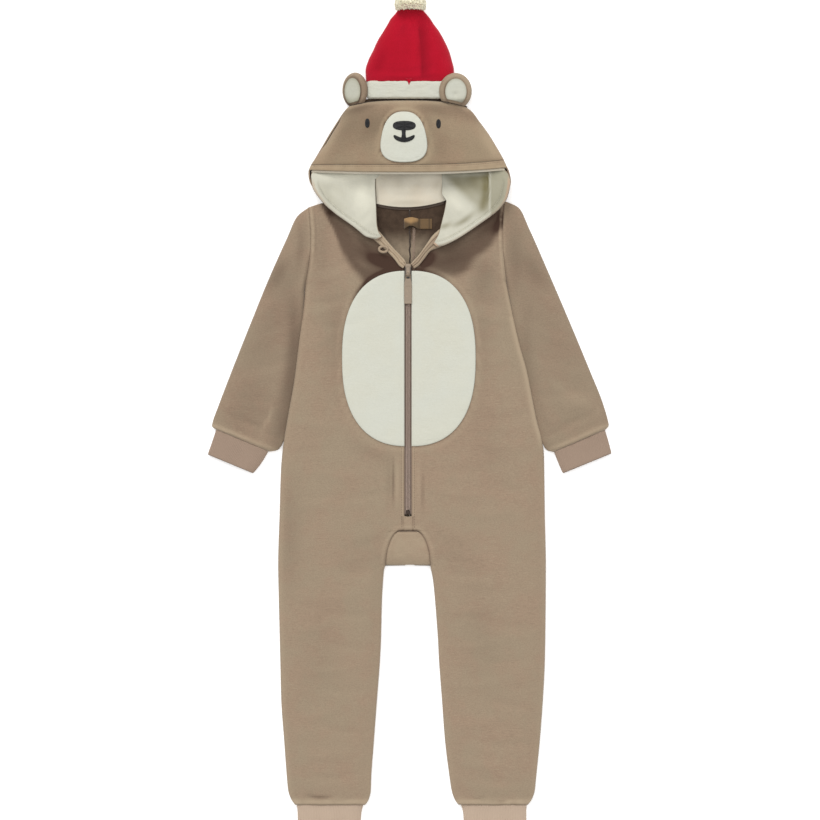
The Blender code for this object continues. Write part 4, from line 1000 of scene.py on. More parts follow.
class Finish:
    """A material in the making: its tree, its shader and what adds nodes to them."""

    def __init__(self, name, **constants):
        self.material = bpy.data.materials.new(name)
        self.material.use_nodes = True
        self.tree = self.material.node_tree
        self.shader = self.tree.nodes["Principled BSDF"]
        for socket, value in constants.items():
            self.set(socket.replace("_", " "), value)

    def set(self, socket, value):
        connect(self.tree, self.shader.inputs[socket], value)

    def node(self, kind, output=0, settings=(), **sockets):
        """Any node: its settings come first, then its sockets, whose names have _ for a space."""
        node = self.tree.nodes.new("ShaderNode" + kind)
        for name, value in dict(settings).items():
            setattr(node, name, value)
        for name, value in sockets.items():
            connect(self.tree, node.inputs[name.replace("_", " ")], value)
        return Wire(self.tree, node.outputs[output])

    def place(self, streak=1.0, turn=0.0):
        """Object coordinates in millimetres, with patterns drawn out along a direction in plan."""
        spot = self.node("TexCoord", output="Object")
        return self.node(
            "Mapping", settings={"vector_type": "TEXTURE"}, Vector=spot,
            Rotation=(0, 0, math.radians(turn)), Scale=(streak * MM, MM, MM),
        )

    def surface(self, turn=0.0):
        """The piece's own UV map, which is in millimetres, turned in its plane."""
        return self.node("Mapping", Vector=self.node("UVMap"), Rotation=(0, 0, math.radians(turn)))

    def clouds(self, spot, size, detail=2.0, roughness=0.5):
        return self.node(
            "TexNoise", output="Fac", Vector=spot, Scale=1 / size, Detail=detail, Roughness=roughness
        )

    def waves(self, way, spot, scale, **looks):
        """Straight waves that follow one another in a direction."""
        settings = {"bands_direction": way}
        return self.node("TexWave", output="Fac", settings=settings, Vector=spot, Scale=scale, **looks)

    def mark(self, name):
        """A number that the builder left on the piece's points."""
        return self.node("Attribute", output="Fac", settings={"attribute_name": name})

    def band(self, value, low, high):
        """0 below low and 1 above high, smoothly."""
        return self.node(
            "MapRange", settings={"interpolation_type": "SMOOTHSTEP"},
            Value=value, From_Min=low, From_Max=high,
        )

    def blend(self, share, first, second):
        """A mix of two colours."""
        node = self.tree.nodes.new("ShaderNodeMix")
        node.data_type = "RGBA"
        connect(self.tree, node.inputs["Factor"], share)
        connect(self.tree, node.inputs[6], first)
        connect(self.tree, node.inputs[7], second)
        return Wire(self.tree, node.outputs[2])

    def shaded(self, base, deep, light):
        """The base with the piece's painted shading: painted shade towards deep above nought, painted light
        below it.
        """
        shade = self.mark("shade") + self.mark("lines")
        return self.blend(0 - shade, self.blend(shade, base, deep), light)

    def bump(self, height, distance, strength=1.0):
        """Bump from a height that runs from 0 to 1 over a distance in millimetres."""
        self.set("Normal", self.node("Bump", Height=height, Distance=distance * MM, Strength=strength))


# A wave texture's scale is this over the millimetres from one wave to the next
WAVE = 0.314
KNIT_PITCH = 1.1


def toned(shade, share=1.35):
    """A colour made paler, or darker where the share is under 1."""
    return tuple(min(part * share, 1) for part in shade)


def tinted(shade, *shares):
    """A colour with its red, green and blue each made a share of what they were."""
    return tuple(part * share for part, share in zip(shade, shares))


# The looks of brushed and knitted cloth, which scatters light softly
SOFT = {"Roughness": 0.95, "Sheen_Weight": 0.2, "Sheen_Roughness": 0.5, "Specular_IOR_Level": 0.1}


def napped(name, light, rosy, dark, deep, clump, depth, turn=0.0, mottle=0.5, rosy_size=34):
    """Brushed pile: fine clumps, sparse streaks and soft patches where it lies another way, with painted
    highlights on some streaks and the piece's painted shade and light.
    """
    finish = Finish(name, **SOFT)
    spot = finish.place()
    fine = finish.clouds(finish.place(1.6, turn), clump, 3.0, 0.65)
    streaks = finish.clouds(finish.place(8.0, turn), 1.25, 2.0)
    patches = finish.clouds(spot, rosy_size, 3.0, 0.55)
    broad = finish.clouds(spot, 95, 1.0)
    lie = finish.band(patches, 0.38, 0.64) * 0.6 + finish.band(broad, 0.35, 0.65) * 0.4
    base = finish.blend(lie, light, rosy)
    streaked = finish.band(streaks, 0.55, 0.70) * finish.band(patches, 0.40, 0.60)
    # glints are painted highlights: paler strokes where the streaks catch the light
    glints = finish.band(streaks, 0.44, 0.32) * finish.band(broad, 0.40, 0.62)
    base = finish.blend(glints * mottle, base, toned(light, 1.16))
    darkness = finish.band(fine, 0.62, 0.34) * 0.6 + streaked * 0.45
    # deep is the colour of painted shade, and a paler copy of light that of painted light
    finish.set("Base Color", finish.shaded(finish.blend(darkness * mottle, base, dark), deep, toned(light)))
    finish.bump(fine * 0.6 + streaks * 0.4, depth, 0.85)
    return finish.material


def tan_fleece():
    return napped(
        "Tan fleece", colour("tan"), colour("tan_rose"), colour("tan_dark"), colour("tan_painted_shade"),
        size("nap_clump"), size("nap_depth"), mottle=0.55,
    )


def hood_fleece():
    """The same fleece on the hood, whose nap looks a little warmer."""
    warm = [tinted(colour(name), 0.955, 0.94, 0.89) for name in ("tan", "tan_rose", "tan_dark")]
    return napped("Hood fleece", *warm, colour("tan_painted_shade"), size("nap_clump"), size("nap_depth"), mottle=0.55)


def fleece_inside():
    """The plain knitted reverse of the fleece, in fine columns, with painted light where the piece's rim mark
    says.
    """
    finish = Finish("Fleece reverse", Roughness=0.95, Sheen_Weight=0.1, Specular_IOR_Level=0.1)
    column = finish.waves("X", finish.place(), 0.22, Distortion=0.6, Detail=1.0)
    speckle = finish.clouds(finish.place(), 1.8, 3.0, 0.65)
    # The rim mark is painted light here: it blends towards lit copies of the reverse's colour
    lit = finish.mark("rim")
    lit_colour = colour("inside_lit")
    dark = finish.blend(lit, colour("inside"), toned(lit_colour, 0.72))
    light = finish.blend(lit, toned(colour("inside"), 2.2), toned(lit_colour, 1.15))
    clumps = finish.band(finish.clouds(finish.place(), 9, 3.0, 0.6), 0.35, 0.65)
    finish.set("Base Color", finish.blend(speckle * 0.45 + column * 0.2 + clumps * 0.35 - 0.12, dark, light))
    finish.bump(column * 0.5 + speckle * 0.5, 0.4)
    return finish.material


def cream_plush():
    cream = colour("cream")
    return napped(
        "Cream plush", cream, tinted(cream, 1, 0.985, 0.96), colour("cream_dark"), colour("cream_painted_shade"),
        1.6, 0.5, mottle=0.16,
    )


def pompom_plush():
    light = colour("pompom")
    return napped(
        "Pompom plush", light, toned(light, 0.96), colour("cream"), colour("cream_painted_shade"), 2.0, 0.2, mottle=0.1
    )


def cream_lining():
    lining = colour("lining_back")
    return napped(
        "Cream lining", lining, tinted(lining, 1, 0.96, 0.93), colour("cream_dark"), colour("cream_painted_shade"),
        2.2, 0.3, turn=70, mottle=0.1, rosy_size=22,
    )


def red_plush():
    red = colour("red")
    return napped(
        "Red plush", red, tinted(red, 1.1, 1.4, 1.3), colour("red_dark"), colour("red_painted_shade"),
        1.3, 0.4, turn=80, mottle=0.3,
    )


def rolled_edge():
    """The hood's turned edge: cream plush that gives way to tan fleece at its rim."""
    finish = Finish("Hood edge", **SOFT)
    rim = finish.mark("rim")
    spot = finish.place()
    fine = finish.clouds(spot, 1.6, 3.0, 0.6)
    patches = finish.clouds(spot, 22, 2.0)
    tan = finish.blend(patches, toned(colour("tan_rose"), 1.2), toned(colour("tan_rose"), 1.6))
    share = finish.band(rim + (fine - 0.5) * 0.5, 0.2, 1.0)
    white = finish.blend(finish.band(patches, 0.35, 0.65), colour("lining"), toned(colour("lining"), 0.94))
    cream = finish.blend(finish.band(fine, 0.6, 0.35) * 0.12, white, colour("cream_dark"))
    # The lining's painted shade and painted light
    shaded = finish.shaded(cream, colour("cream_painted_shade"), toned(colour("lining"), 1.5))
    finish.set("Base Color", finish.blend(share, shaded, tan))
    finish.bump(fine, 0.35, 0.7)
    return finish.material


def knitted_rib(name, shade):
    """Fine rib: the ribs are in the mesh, and each carries the knit's small stitches."""
    finish = Finish(name, Roughness=0.9, Sheen_Weight=0.2, Sheen_Roughness=0.5, Specular_IOR_Level=0.15)
    pitch = size("rib_pitch")
    rib = finish.waves("X", finish.surface(), WAVE / pitch, Distortion=0.0)
    knit = finish.waves("Y", finish.surface(), WAVE / KNIT_PITCH, Distortion=1.2, Detail=1.0)
    cloud = finish.clouds(finish.place(), 22, 2.0)
    base = finish.blend(cloud, shade, toned(shade, 0.92))
    finish.set("Base Color", finish.blend(finish.band(rib, 0.55, 0.05) * 0.2, base, toned(shade, 0.7)))
    finish.bump(knit * 0.6 + rib * 0.4, 0.25)
    return finish.material


def woven(name, shade, pitch, slant=0.0, roughness=0.75, sheen=0.1):
    """A narrow woven tape, with its weave on the tape's own UV map."""
    finish = Finish(name, Roughness=roughness, Sheen_Weight=sheen, Specular_IOR_Level=0.25)
    spot = finish.surface(slant)
    warp, weft = (finish.waves(way, spot, WAVE / pitch, Distortion=0.3) for way in "XY")
    weave = warp * 0.6 + weft * 0.4
    flecks = finish.clouds(finish.place(), 2.5, 2.0)
    base = finish.blend(weave * 0.55 + flecks * 0.35, toned(shade, 0.55), shade)
    # The piece's painted shade and light, which only the label has
    finish.set("Base Color", finish.shaded(base, toned(shade, 0.12), toned(shade)))
    finish.bump(weave, 0.2)
    return finish.material


def thread(name, shade, roughness=0.6):
    """Twisted sewing thread."""
    finish = Finish(name, Roughness=roughness, Sheen_Weight=0.15, Specular_IOR_Level=0.3)
    twist = finish.waves("DIAGONAL", finish.place(), 0.6, Distortion=0.5)
    finish.set("Base Color", finish.blend(twist, toned(shade, 0.7), shade))
    finish.bump(twist, 0.08)
    return finish.material


def zip_coil_finish():
    finish = Finish("Zip coil", Specular_IOR_Level=0.5)
    wear = finish.clouds(finish.place(), 3.0, 2.0)
    shade = colour("zip_coil")
    finish.set("Base Color", finish.blend(wear, toned(shade, 0.8), shade))
    finish.set("Roughness", 0.38 + wear * 0.2)
    return finish.material


def painted_metal():
    """Tan paint on cast metal, a little worn and slightly uneven, with near-black painted shade where the
    piece marks its throat and sides.
    """
    finish = Finish("Painted metal", Coat_Roughness=0.25, Specular_IOR_Level=0.45)
    grain = finish.clouds(finish.place(), 0.5, 3.0, 0.6)
    wear = finish.clouds(finish.place(), 4.0, 3.0, 0.6)
    shade = colour("metal")
    worn = finish.band(wear, 0.62, 0.74)
    painted_hollow_shade = finish.mark("rim")
    paint = finish.blend(worn * 0.5, shade, toned(shade, 1.5))
    finish.set("Base Color", finish.blend(painted_hollow_shade, paint, colour("black")))
    finish.set("Roughness", 0.42 + wear * 0.18)
    finish.set("Metallic", worn * 0.35)
    finish.set("Coat Weight", 0.25 + worn * 0.1)
    finish.bump(grain, 0.05)
    return finish.material


def floor_finish():
    finish = Finish(
        "Pale floor", Roughness=0.9, Specular_IOR_Level=0.05, Emission_Color=(1, 1, 1), Emission_Strength=0.3
    )
    cloud = finish.clouds(finish.place(), 400, 1.0)
    shade = colour("floor")
    finish.set("Base Color", finish.blend(cloud, shade, toned(shade, 0.995)))
    return finish.material


MATERIALS = {
    "Tan fleece": tan_fleece,
    "Hood fleece": hood_fleece,
    "Fleece reverse": fleece_inside,
    "Cream plush": cream_plush,
    "Cream lining": cream_lining,
    "Red plush": red_plush,
    "Hood edge": rolled_edge,
    "Tan rib": lambda: knitted_rib("Tan rib", colour("rib")),
    "Pale rib": lambda: knitted_rib("Pale rib", colour("rib_painted_light")),
    "Pompom plush": pompom_plush,
    "Neck tape": lambda: woven("Neck tape", colour("tape"), 1.1, 45),
    "Label": lambda: woven("Label", colour("label"), 0.7, 0, 0.5, 0.3),
    "Zip tape": lambda: woven("Zip tape", colour("zip_tape"), 0.9),
    "Black thread": lambda: thread("Black thread", colour("black"), 0.45),
    "Tan thread": lambda: thread("Tan thread", colour("tan_thread")),
    "Cream thread": lambda: thread("Cream thread", colour("cream_thread")),
    "Brown thread": lambda: thread("Brown thread", colour("brown_thread")),
    "Zip coil": zip_coil_finish,
    "Painted metal": painted_metal,
    "Pale floor": floor_finish,
}


def material(name):
    """A finish by name, made the first time that a piece asks for it."""
    return bpy.data.materials.get(name) or MATERIALS[name]()


# ---------------------------------------------------------------- builders

Cut = namedtuple("Cut", "width length area")


def finished(name, bm, finish, wall=0.0, behind=0.0, inside=None, sharp=55):
    """An object from a bmesh, with a wall that starts behind its faces and goes inwards if it is cloth."""
    mesh = bpy.data.meshes.new(name)
    bm.to_mesh(mesh)
    bm.free()
    mesh.materials.append(material(finish))
    mesh.shade_smooth()
    mesh.set_sharp_from_angle(angle=math.radians(sharp))
    thing = bpy.data.objects.new(name, mesh)
    bpy.context.scene.collection.objects.link(thing)
    if wall:
        solid = thing.modifiers.new("wall", "SOLIDIFY")
        solid.thickness = wall * MM
        solid.offset = -1 - 2 * behind / wall
        if inside:
            mesh.materials.append(material(inside))
            solid.material_offset = 1
    return thing


def lengths(points):
    """How far along a line of points each of them lies."""
    made = [0.0]
    for start, end in zip(points, points[1:]):
        made.append(made[-1] + (end - start).length)
    return made


def cloth(
    name, columns, rows, place, finish, wall=0.0, closed=False, flip=False, behind=0.0,
    inside=None, puff=None, rim=None, lines=None, shade=None, sharp=55,
):
    """A grid of columns by rows stations, each moved to place(column, row), with its wall behind it.

    The face that shows is the one from which columns run to the right and rows upwards, and flip
    shows the other. A closed sheet has its first column on its last, and its normals point outwards.
    puff(column, row) moves a point out along the normal. rim and lines, of (column, row), and
    shade(x, y) are kept as marks for the material. It returns the object and the cut: the greatest
    width and length, and the area.
    """
    points = [[Vector(place(column, row)) for column in columns] for row in rows]
    middle = points[len(rows) // 2]
    across_at = lengths(middle)
    along_at = lengths([line[len(columns) // 2] for line in points])
    bm = bmesh.new()
    across, up = len(columns) - 1, len(rows) - 1
    bmesh.ops.create_grid(bm, x_segments=across, y_segments=up, size=0.5)
    uv = bm.loops.layers.uv.new("UVMap")
    out = bm.verts.layers.float.new("out")
    marks = {bm.verts.layers.float.new(name): mark for name, mark in (("rim", rim), ("lines", lines)) if mark}
    shade_layer = bm.verts.layers.float.new("shade") if shade else None
    stations = {}
    for vert in bm.verts:
        column, row = round((vert.co.x + 0.5) * across), round((vert.co.y + 0.5) * up)
        stations[vert] = column, row
        vert.co = points[row][column] * MM
        if puff:
            vert[out] = puff(columns[column], rows[row]) * MM
        for layer, mark in marks.items():
            vert[layer] = mark(columns[column], rows[row])
        if shade:
            vert[shade_layer] = shade(*points[row][column].xy)
    for face in bm.faces:
        for loop in face.loops:
            column, row = stations[loop.vert]
            loop[uv].uv = across_at[column], along_at[row]
    area = sum(face.calc_area() for face in bm.faces)
    if closed:
        bmesh.ops.remove_doubles(bm, verts=bm.verts, dist=1e-6)
        bmesh.ops.recalc_face_normals(bm, faces=bm.faces)
    if flip:
        bmesh.ops.reverse_faces(bm, faces=bm.faces)
    if puff:
        bm.normal_update()
        for vert in bm.verts:
            vert.co += vert.normal * vert[out]
    bm.verts.layers.float.remove(out)
    width = max(lengths(line)[-1] for line in points)
    length = max(lengths([line[column] for line in points])[-1] for column in range(0, len(columns), 4))
    cut = Cut(width * MM, length * MM, min(area, width * length * MM * MM))
    return finished(name, bm, finish, wall, behind, inside, sharp), cut


def settle(piece, slot, *nodes, body="garment"):
    """Puts a finished piece on its body and hides the solids whose place it takes. Its slot is not used."""
    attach(piece, body)
    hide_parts(*nodes)


def ring_stations(rings, most):
    """Stations along a tube, in ring numbers, with none further from the next than most."""
    made = [0.0]
    for index, (a, b) in enumerate(zip(rings, rings[1:])):
        outer = math.hypot(b.outer_x - a.outer_x, b.outer_y - a.outer_y)
        inner = math.hypot(b.inner_x - a.inner_x, b.inner_y - a.inner_y)
        made += [index + share for share in steps(max(math.ceil(max(outer, inner) / most), 1))[1:]]
    return made


def section(width, height, reach, over, under):
    """Points round a flat tube: from its outer edge over the top to its inner edge and back below."""
    points = []
    for share in over:
        full = rounded(share * width, reach) * rounded((1 - share) * width, reach)
        points.append((share, SEAM_RISE + (height - SEAM_RISE) * full, full))
    for share in under:
        points.append((share, curl(min(share, 1 - share) * width, SEAM_RISE), 0.0))
    return points


def evenly(points, width, count):
    """The same section with its points at equal steps round it."""
    flat = [Vector((share * width, z, 0)) for share, z, _ in points]
    at = lengths(flat + flat[:1])
    full = [point[2] for point in points]
    made = []
    for index in range(count):
        goal = at[-1] * index / count
        low = max(bisect_right(at, goal) - 1, 0)
        high = (low + 1) % len(flat)
        share = (goal - at[low]) / max(at[low + 1] - at[low], 1e-9)
        spot = flat[low].lerp(flat[high], share)
        made.append((spot.x / width, spot.y, mix(full[low], full[high], share)))
    return made


def tube(
    name, rings, sign, finish, wall, most, around, reach=EDGE_REACH, bows=(), relief=None, even=0, **looks
):
    """A flat tube of cloth through its rings, open at both ends. A bow pushes a ring's middle inwards.

    around is how many steps lie over and under it, or even is how many equal ones go all round.
    relief(x, y, row) is added to the height of its top, less towards its folds.
    """
    curves = curves_down(rings)
    bow_at = Curve(enumerate([*bows, *[0.0] * (len(rings) - len(bows))]))
    over = dense(around[0], 0.88)
    under = dense(around[1], 0.93)[-2:0:-1]
    sections = {}

    def ring_section(row):
        if row not in sections:
            outer_x, outer_y, inner_x, inner_y, height = (curve(row) for curve in curves)
            width = math.hypot(inner_x - outer_x, inner_y - outer_y)
            points = section(width, height, reach, over, under)
            sections[row] = evenly(points, width, even) if even else points
        return sections[row]

    def place(column, row):
        outer_x, outer_y, inner_x, inner_y, _ = (curve(row) for curve in curves)
        share, z, full = ring_section(row)[column]
        x = mix(outer_x, inner_x, share) - bow_at(row) * math.sin(math.pi * share)
        y = mix(outer_y, inner_y, share)
        if full and relief:
            z += full * relief(sign * x, y, row)
        return sign * x, y, z

    rows = ring_stations(rings, most)
    columns = list(range(len(ring_section(rows[0])))) + [0]
    return cloth(name, columns, rows, place, finish, wall, closed=True, **looks)


# ---------------------------------------------------------------- body, sleeves and cuffs

FINE = 3.2
COARSE = 5.0
ANKLE = -549.0


def gathers(along, distance, seed):
    """Small puckers where a full edge is gathered on to a cuff, and the soft roll of that edge."""
    pucker = 0.9 * swell(along, distance * 0.35, 6.5, seed) * hill(distance, 14)
    return pucker + 0.8 * hill(distance - 4, 3.2) - 0.35 * hill(distance - 14, 5.5)


def panel_sides(side, y):
    """The half-width that a body panel is cut to: clear of the sleeve along the armhole."""
    return seam_x(side, y) - (SEAM if y > UNDERARM[side][1] else 0)


def make_front(side):
    """A front, whose foot is gathered on to the cuff with a soft lip."""
    def place(column, row):
        near, far = front_inner(side, row[0]), panel_sides(side, row[1])
        x = mix(near, far, column)
        y = panel_y(side, row, x, column)
        share = front_share(side, x, y)
        if share < 1e-4:
            return SIGN[side] * x, y, SEAM_RISE + 0.9 * GAP
        z = front_top(side, x, y)
        if y < ANKLE + 45:
            z += share * gathers(SIGN[side] * x, y - ANKLE, 21.0)
        lip = smooth((ANKLE + 7 - y) / 7)
        return SIGN[side] * x, y - lip * (2.8 + 0.8 * swell(x, 0, 22, 152.0)), z + 0.9 * lip * share

    piece, cut = cloth(
        f"{side}_front", edged(58), body_rows(side, FINE), place, "Tan fleece", FLEECE,
        flip=side == "left", inside="Fleece reverse", shade=lambda x, y: front_shade(side, abs(x), y),
    )
    settle(piece, "tan_fleece", f"front_{side}")


def make_back(side):
    """A back, whose seams curl up off the surface to meet the front."""
    rows = body_rows(side, COARSE)
    neck_x = NECK_POINT[side][0]
    falls = {row: 0.6 * index for index, row in enumerate(rows)}

    def place(column, row):
        near, far = back_inner(side, row[0]), panel_sides(side, row[1])
        x = mix(near, far, column)
        y = panel_y(side, row, x, column)
        if x < neck_x:
            y = min(y, mix(back_neck_y(SIGN[side] * x), NECK_Y, smooth((x - neck_x + 7) / 7)) - falls[row])
        z = back_low(side, x, y)
        z = SEAM_RISE - 0.9 * GAP if z > SEAM_RISE - 1e-3 else min(z, SEAM_RISE - RISER)
        return SIGN[side] * x, y, z

    def lit(column, row):
        """Painted light on the inside of the back neck towards the zip, less where the hood's side shades it.
        """
        x, y, _ = place(column, row)
        hooded = 0.6 * smooth((x - 26) / 8) * smooth((y - 224) / 14)
        return (1 - hooded) * smooth((256 - y) / 34) * smooth((62 - abs(x)) / 30)

    piece, cut = cloth(
        f"{side}_back", edged(44), rows, place, "Tan fleece", FLEECE,
        flip=side == "right", inside="Fleece reverse", rim=lit,
    )
    settle(piece, "tan_fleece", f"back_{side}")


def make_gusset():
    """The arch between the legs, let into the fronts."""
    rows = [(y,) for y in [GUSSET_TOP - SEAM] + GUSSET_ROWS + [CROTCH + EDGE, CROTCH]]

    def place(column, row):
        y = row[0]
        x = column * (gusset_half(y if y < GUSSET_TOP - SEAM else GUSSET_TOP) - SEAM / 2)
        side = "left" if x > 0 else "right"
        if front_share(side, abs(x), y) < 1e-4:
            return x, y, SEAM_RISE + 0.9 * GAP
        return x, y, front_top(side, abs(x), y)

    # Painted shading: a dark line along the seam, painted light over the panel and along its foot, a little
    # uneven
    def shade(x, y):
        top = smooth((22 - abs(x)) / 8)
        distance = gusset_distance(abs(x), y) + 0.5 * swell(x, y, 5, 143.0)
        line = mix(0.5, 1.0, top) * hill(distance, mix(1.0, 1.5, top))
        return line - 0.28 * (1 - 0.6 * line) - 0.5 * hill(y - CROTCH, 4) + 0.12 * swell(x, y, 9, 153.0)

    piece, cut = cloth(
        "gusset_panel", both_ways(34, 0.7), finer(rows, 1.6)[::-1], place, "Tan fleece", FLEECE,
        inside="Fleece reverse", shade=shade,
    )
    settle(piece, "tan_fleece", "gusset")


def from_end(ring, x, y):
    """How far a point lies from the line across a tube's last ring."""
    across = Vector((ring.inner_x - ring.outer_x, ring.inner_y - ring.outer_y)).normalized()
    return abs((x - ring.outer_x) * across.y - (y - ring.outer_y) * across.x)


def make_sleeve(side):
    """A sleeve, clear of the body along its armhole and gathered on to its cuff."""
    rings = []
    for index, ring in enumerate(SLEEVE[side]):
        clear = -0.8 if index else SEAM
        rings.append(ring._replace(inner_x=ring.inner_x + clear, outer_x=ring.outer_x + clear * (index == 0)))
    end = rings[-1]

    def relief(x, y, row):
        distance = from_end(end, abs(x), y)
        height = creases(SLEEVE_FOLDS[side], x, y) + pile(x, y, 14.0)
        if row < 3 and y > UNDERARM[side][1] - 12:
            height += seam_dip(abs(x) - seam_x(side, y), mix(0.4, 1.4, smooth((226 - y) / 20)), 2.0)
        if distance < 45:
            height += gathers(x + 0.4 * y, distance, 33.0)
        return height

    # Painted shading: the sleeve's own table and a little shade all over, painted light on the roll above the
    # cuff, and along the armhole a dark line low down and painted light higher up
    def shade(x, y):
        distance = from_end(end, abs(x), y)
        deep = creases(SLEEVE_PAINTED_SHADING[side], x, y) + 0.1 - 0.75 * hill(distance - 2.5, 3.6)
        if y > UNDERARM[side][1] - 10:
            seam, low = abs(x) - seam_x(side, y), smooth((228 - y) / 24)
            edge = mix(0.02, 0.3, low) * hill(seam, 1.6) - mix(0.22, 0.0, low) * hill(seam - 1.5, 2.0)
            deep += edge * (0.8 + 0.5 * swell(x, y, 6, 144.0))
        return deep

    bow = ARMHOLE_BOW[side]
    piece, cut = tube(
        f"{side}_sleeve", rings, SIGN[side], "Tan fleece", FLEECE, 3.0, (46, 26),
        bows=(bow, 0.5 * bow, 0.2 * bow), relief=relief, inside="Fleece reverse", shade=shade,
    )
    settle(piece, "tan_fleece", f"sleeve_{side}")


def make_cuff(name, node, rings, sign, finish):
    """A ribbed cuff: its ribs run along it, and its open end is turned in."""
    first, second = rings[:2]
    back = [a - 0.16 * (b - a) for a, b in zip(first, second)]
    rings = [Ring(*back)._replace(height=first.height - 1.6), *rings]
    width = math.hypot(rings[0].inner_x - rings[0].outer_x, rings[0].inner_y - rings[0].outer_y)
    ribs = round(2 * (width + 4) / size("rib_pitch"))
    profile = (-1.0, -0.3, 0.0, 0.0, -0.3)
    depth, last = size("rib_depth"), len(rings) - 1

    def puff(column, row):
        turned = -0.7 * smooth((row - last + 0.06) / 0.06)
        return depth * profile[column % len(profile)] + turned

    piece, cut = tube(
        name, rings, sign, finish, RIB, 2.0, (40, 24), reach=20, even=ribs * len(profile), puff=puff,
        sharp=80, relief=lambda x, y, row: 0.25 * swell(x, y, 18, 41.0),
    )
    settle(piece, "tan_rib", node)


# ---------------------------------------------------------------- belly and neck

def belly_top(side, x, y):
    """The height of the belly patch, which swells inside its turned and sewn edge."""
    inside = belly_edge(SIGN[side] * x, y)
    height = front_top(side, x, y) + GAP + PATCH
    height += 0.9 * rounded(inside, 9) - 0.6 * (1 - rounded(inside, 2.2))
    soft = 0.3 * swell(x * SIGN[side], y, 22, 17.0) + 0.12 * swell(x * SIGN[side], y, 8, 18.0)
    return height + soft * smooth(inside / 8)


def make_belly(side):
    """Half of the belly patch, beside the zip."""
    turns = [0.998 * math.sin(math.pi * share) for share in steps(120, -0.5, 0.5)]

    def place(column, row):
        y = BELLY["y"] + row * BELLY["half_height"]
        x = mix(ZIP_HALF, belly_far(side, row), column)
        return SIGN[side] * x, y, belly_top(side, x, y)

    piece, cut = cloth(f"{side}_belly_patch", dense(40, 0.8), turns, place, "Cream plush", PATCH,
                       flip=side == "right")
    settle(piece, "cream_plush", f"belly_{side}")


def make_neck_facing(side):
    """The tan strip that finishes the front's neckline, from under the hood down to the zip."""
    curves = curves_down(FACING[side])
    # How much painted light lies over each strip
    light = {"right": 0.8, "left": 0.1}[side]

    def place(column, row):
        inner_x, inner_y, outer_x, outer_y = (curve(row) for curve in curves)
        x, y = mix(inner_x, outer_x, column), mix(inner_y, outer_y, column)
        fold = 0.62 + 0.1 * swell(row, 0, 0.8, 51.0)
        roll = 2.6 * math.sqrt(max(1 - (2 * column - 1) ** 2, 0)) - 1.3 * hill(column - fold, 0.07)
        roll -= 0.7 * hill(column - 0.2, 0.05)
        return SIGN[side] * x, y, front_top(side, x, y) + GAP + PATCH + roll + 0.5 * swell(x, y, 6, 50.0)

    def lines(column, row):
        """Painted light on its roll at the open edge and over the strip, with painted shade in a line beside
        the roll and in its fold.
        """
        fold = 0.62 + 0.1 * swell(row, 0, 0.8, 51.0)
        rolled = -0.9 * hill(column - 0.1, 0.12) + 0.9 * hill(column - 0.26, 0.045)
        return rolled + 0.55 * hill(column - fold, 0.05) - light - 0.3 * hill(column - 0.8, 0.15)

    shares, rows = dense(28, 0.3), steps(90, 0, len(FACING[side]) - 1)
    piece, cut = cloth(f"{side}_neck_facing", shares, rows, place, "Tan fleece", PATCH,
                       flip=side == "left", lines=lines)
    settle(piece, "tan_rib", f"neck_facing_{side}")


def make_neck_loop():
    """A small fabric loop on the wearer's right, at the end of the hood's edge."""
    centre, across, along, radius = (-34.5, 226.5, 15.6), 6.0, 4.0, 1.8

    def place(column, row):
        turn, round_tube = 2 * math.pi * row, 2 * math.pi * column
        reach = radius * math.cos(round_tube)
        return (
            centre[0] + (across + reach) * math.cos(turn),
            centre[1] + (along + reach) * math.sin(turn),
            centre[2] + radius * math.sin(round_tube) + 0.3 * math.sin(3 * turn),
        )

    piece, _ = cloth("right_neck_loop", steps(12), steps(48), place, "Tan fleece", closed=True,
                     shade=lambda x, y: -0.4)
    settle(piece, "tan_rib", "neck_loop")


def make_neck_tape():
    """The tape over the seam of the back neck."""
    def place(share, down):
        x = mix(NECK_TAPE["right"], NECK_TAPE["left"], share)
        wave = 0.35 * swell(x, 9 * down, 16, 61.0)
        y = back_neck_y(x) + NECK_TAPE["tilt"] * x + mix(NECK_TAPE["above"], -NECK_TAPE["below"], down)
        return x, y, FLEECE + GAP + 1 + max(wave, 0) - 0.8 * (1 - smooth(4 * down))

    piece, _ = cloth("back_neck_tape", steps(60), [1, 0.9, 0.6, 0.3, 0.1, 0], place, "Neck tape", 0.9)
    settle(piece, "neck_tape", "neck_tape")


def make_neck_label():
    """A bare woven label: a folded loop beside a flat tab."""
    def place(share, up):
        x = mix(LABEL["right"], LABEL["left"], share)
        loop = math.sin(math.pi * clamp((x - LABEL["right"]) / LABEL["loop"]))
        lift = 5 * loop * (1 - 0.25 * up) + 0.6 * hill(x - 16.5, 2)
        y = mix(LABEL["low"] + 4.5 * loop, LABEL["high"] + 2 * loop, up)
        return x, y, FLEECE + GAP + 1 + lift

    # Painted shading: the tab in shade with dark creases, shade in the opening under the loop, and painted
    # light along the loop's top
    def shade(x, y):
        tab = smooth((x - 12) / 4)
        crease = 0.35 * hill(x - 15.5, 1.6) + 0.25 * hill(x - 30, 1.2)
        low = 0.8 * (1 - tab) * smooth((265.5 - y + 0.35 * abs(x - 4)) / 5)
        return mix(-0.25 * hill(y - 268, 4), 0.62, tab) + crease + low

    piece, cut = cloth("bare_neck_label", steps(72), steps(10), place, "Label", 0.7, shade=shade)
    settle(piece, "bare_label", "neck_label")


# ---------------------------------------------------------------- the hood

def across_hood(count, ends=0.9):
    """Shares from the hood's right side to its left, with one right beside each."""
    return [-1.0, -0.9998] + both_ways(count, ends)[1:-1] + [0.9998, 1.0]


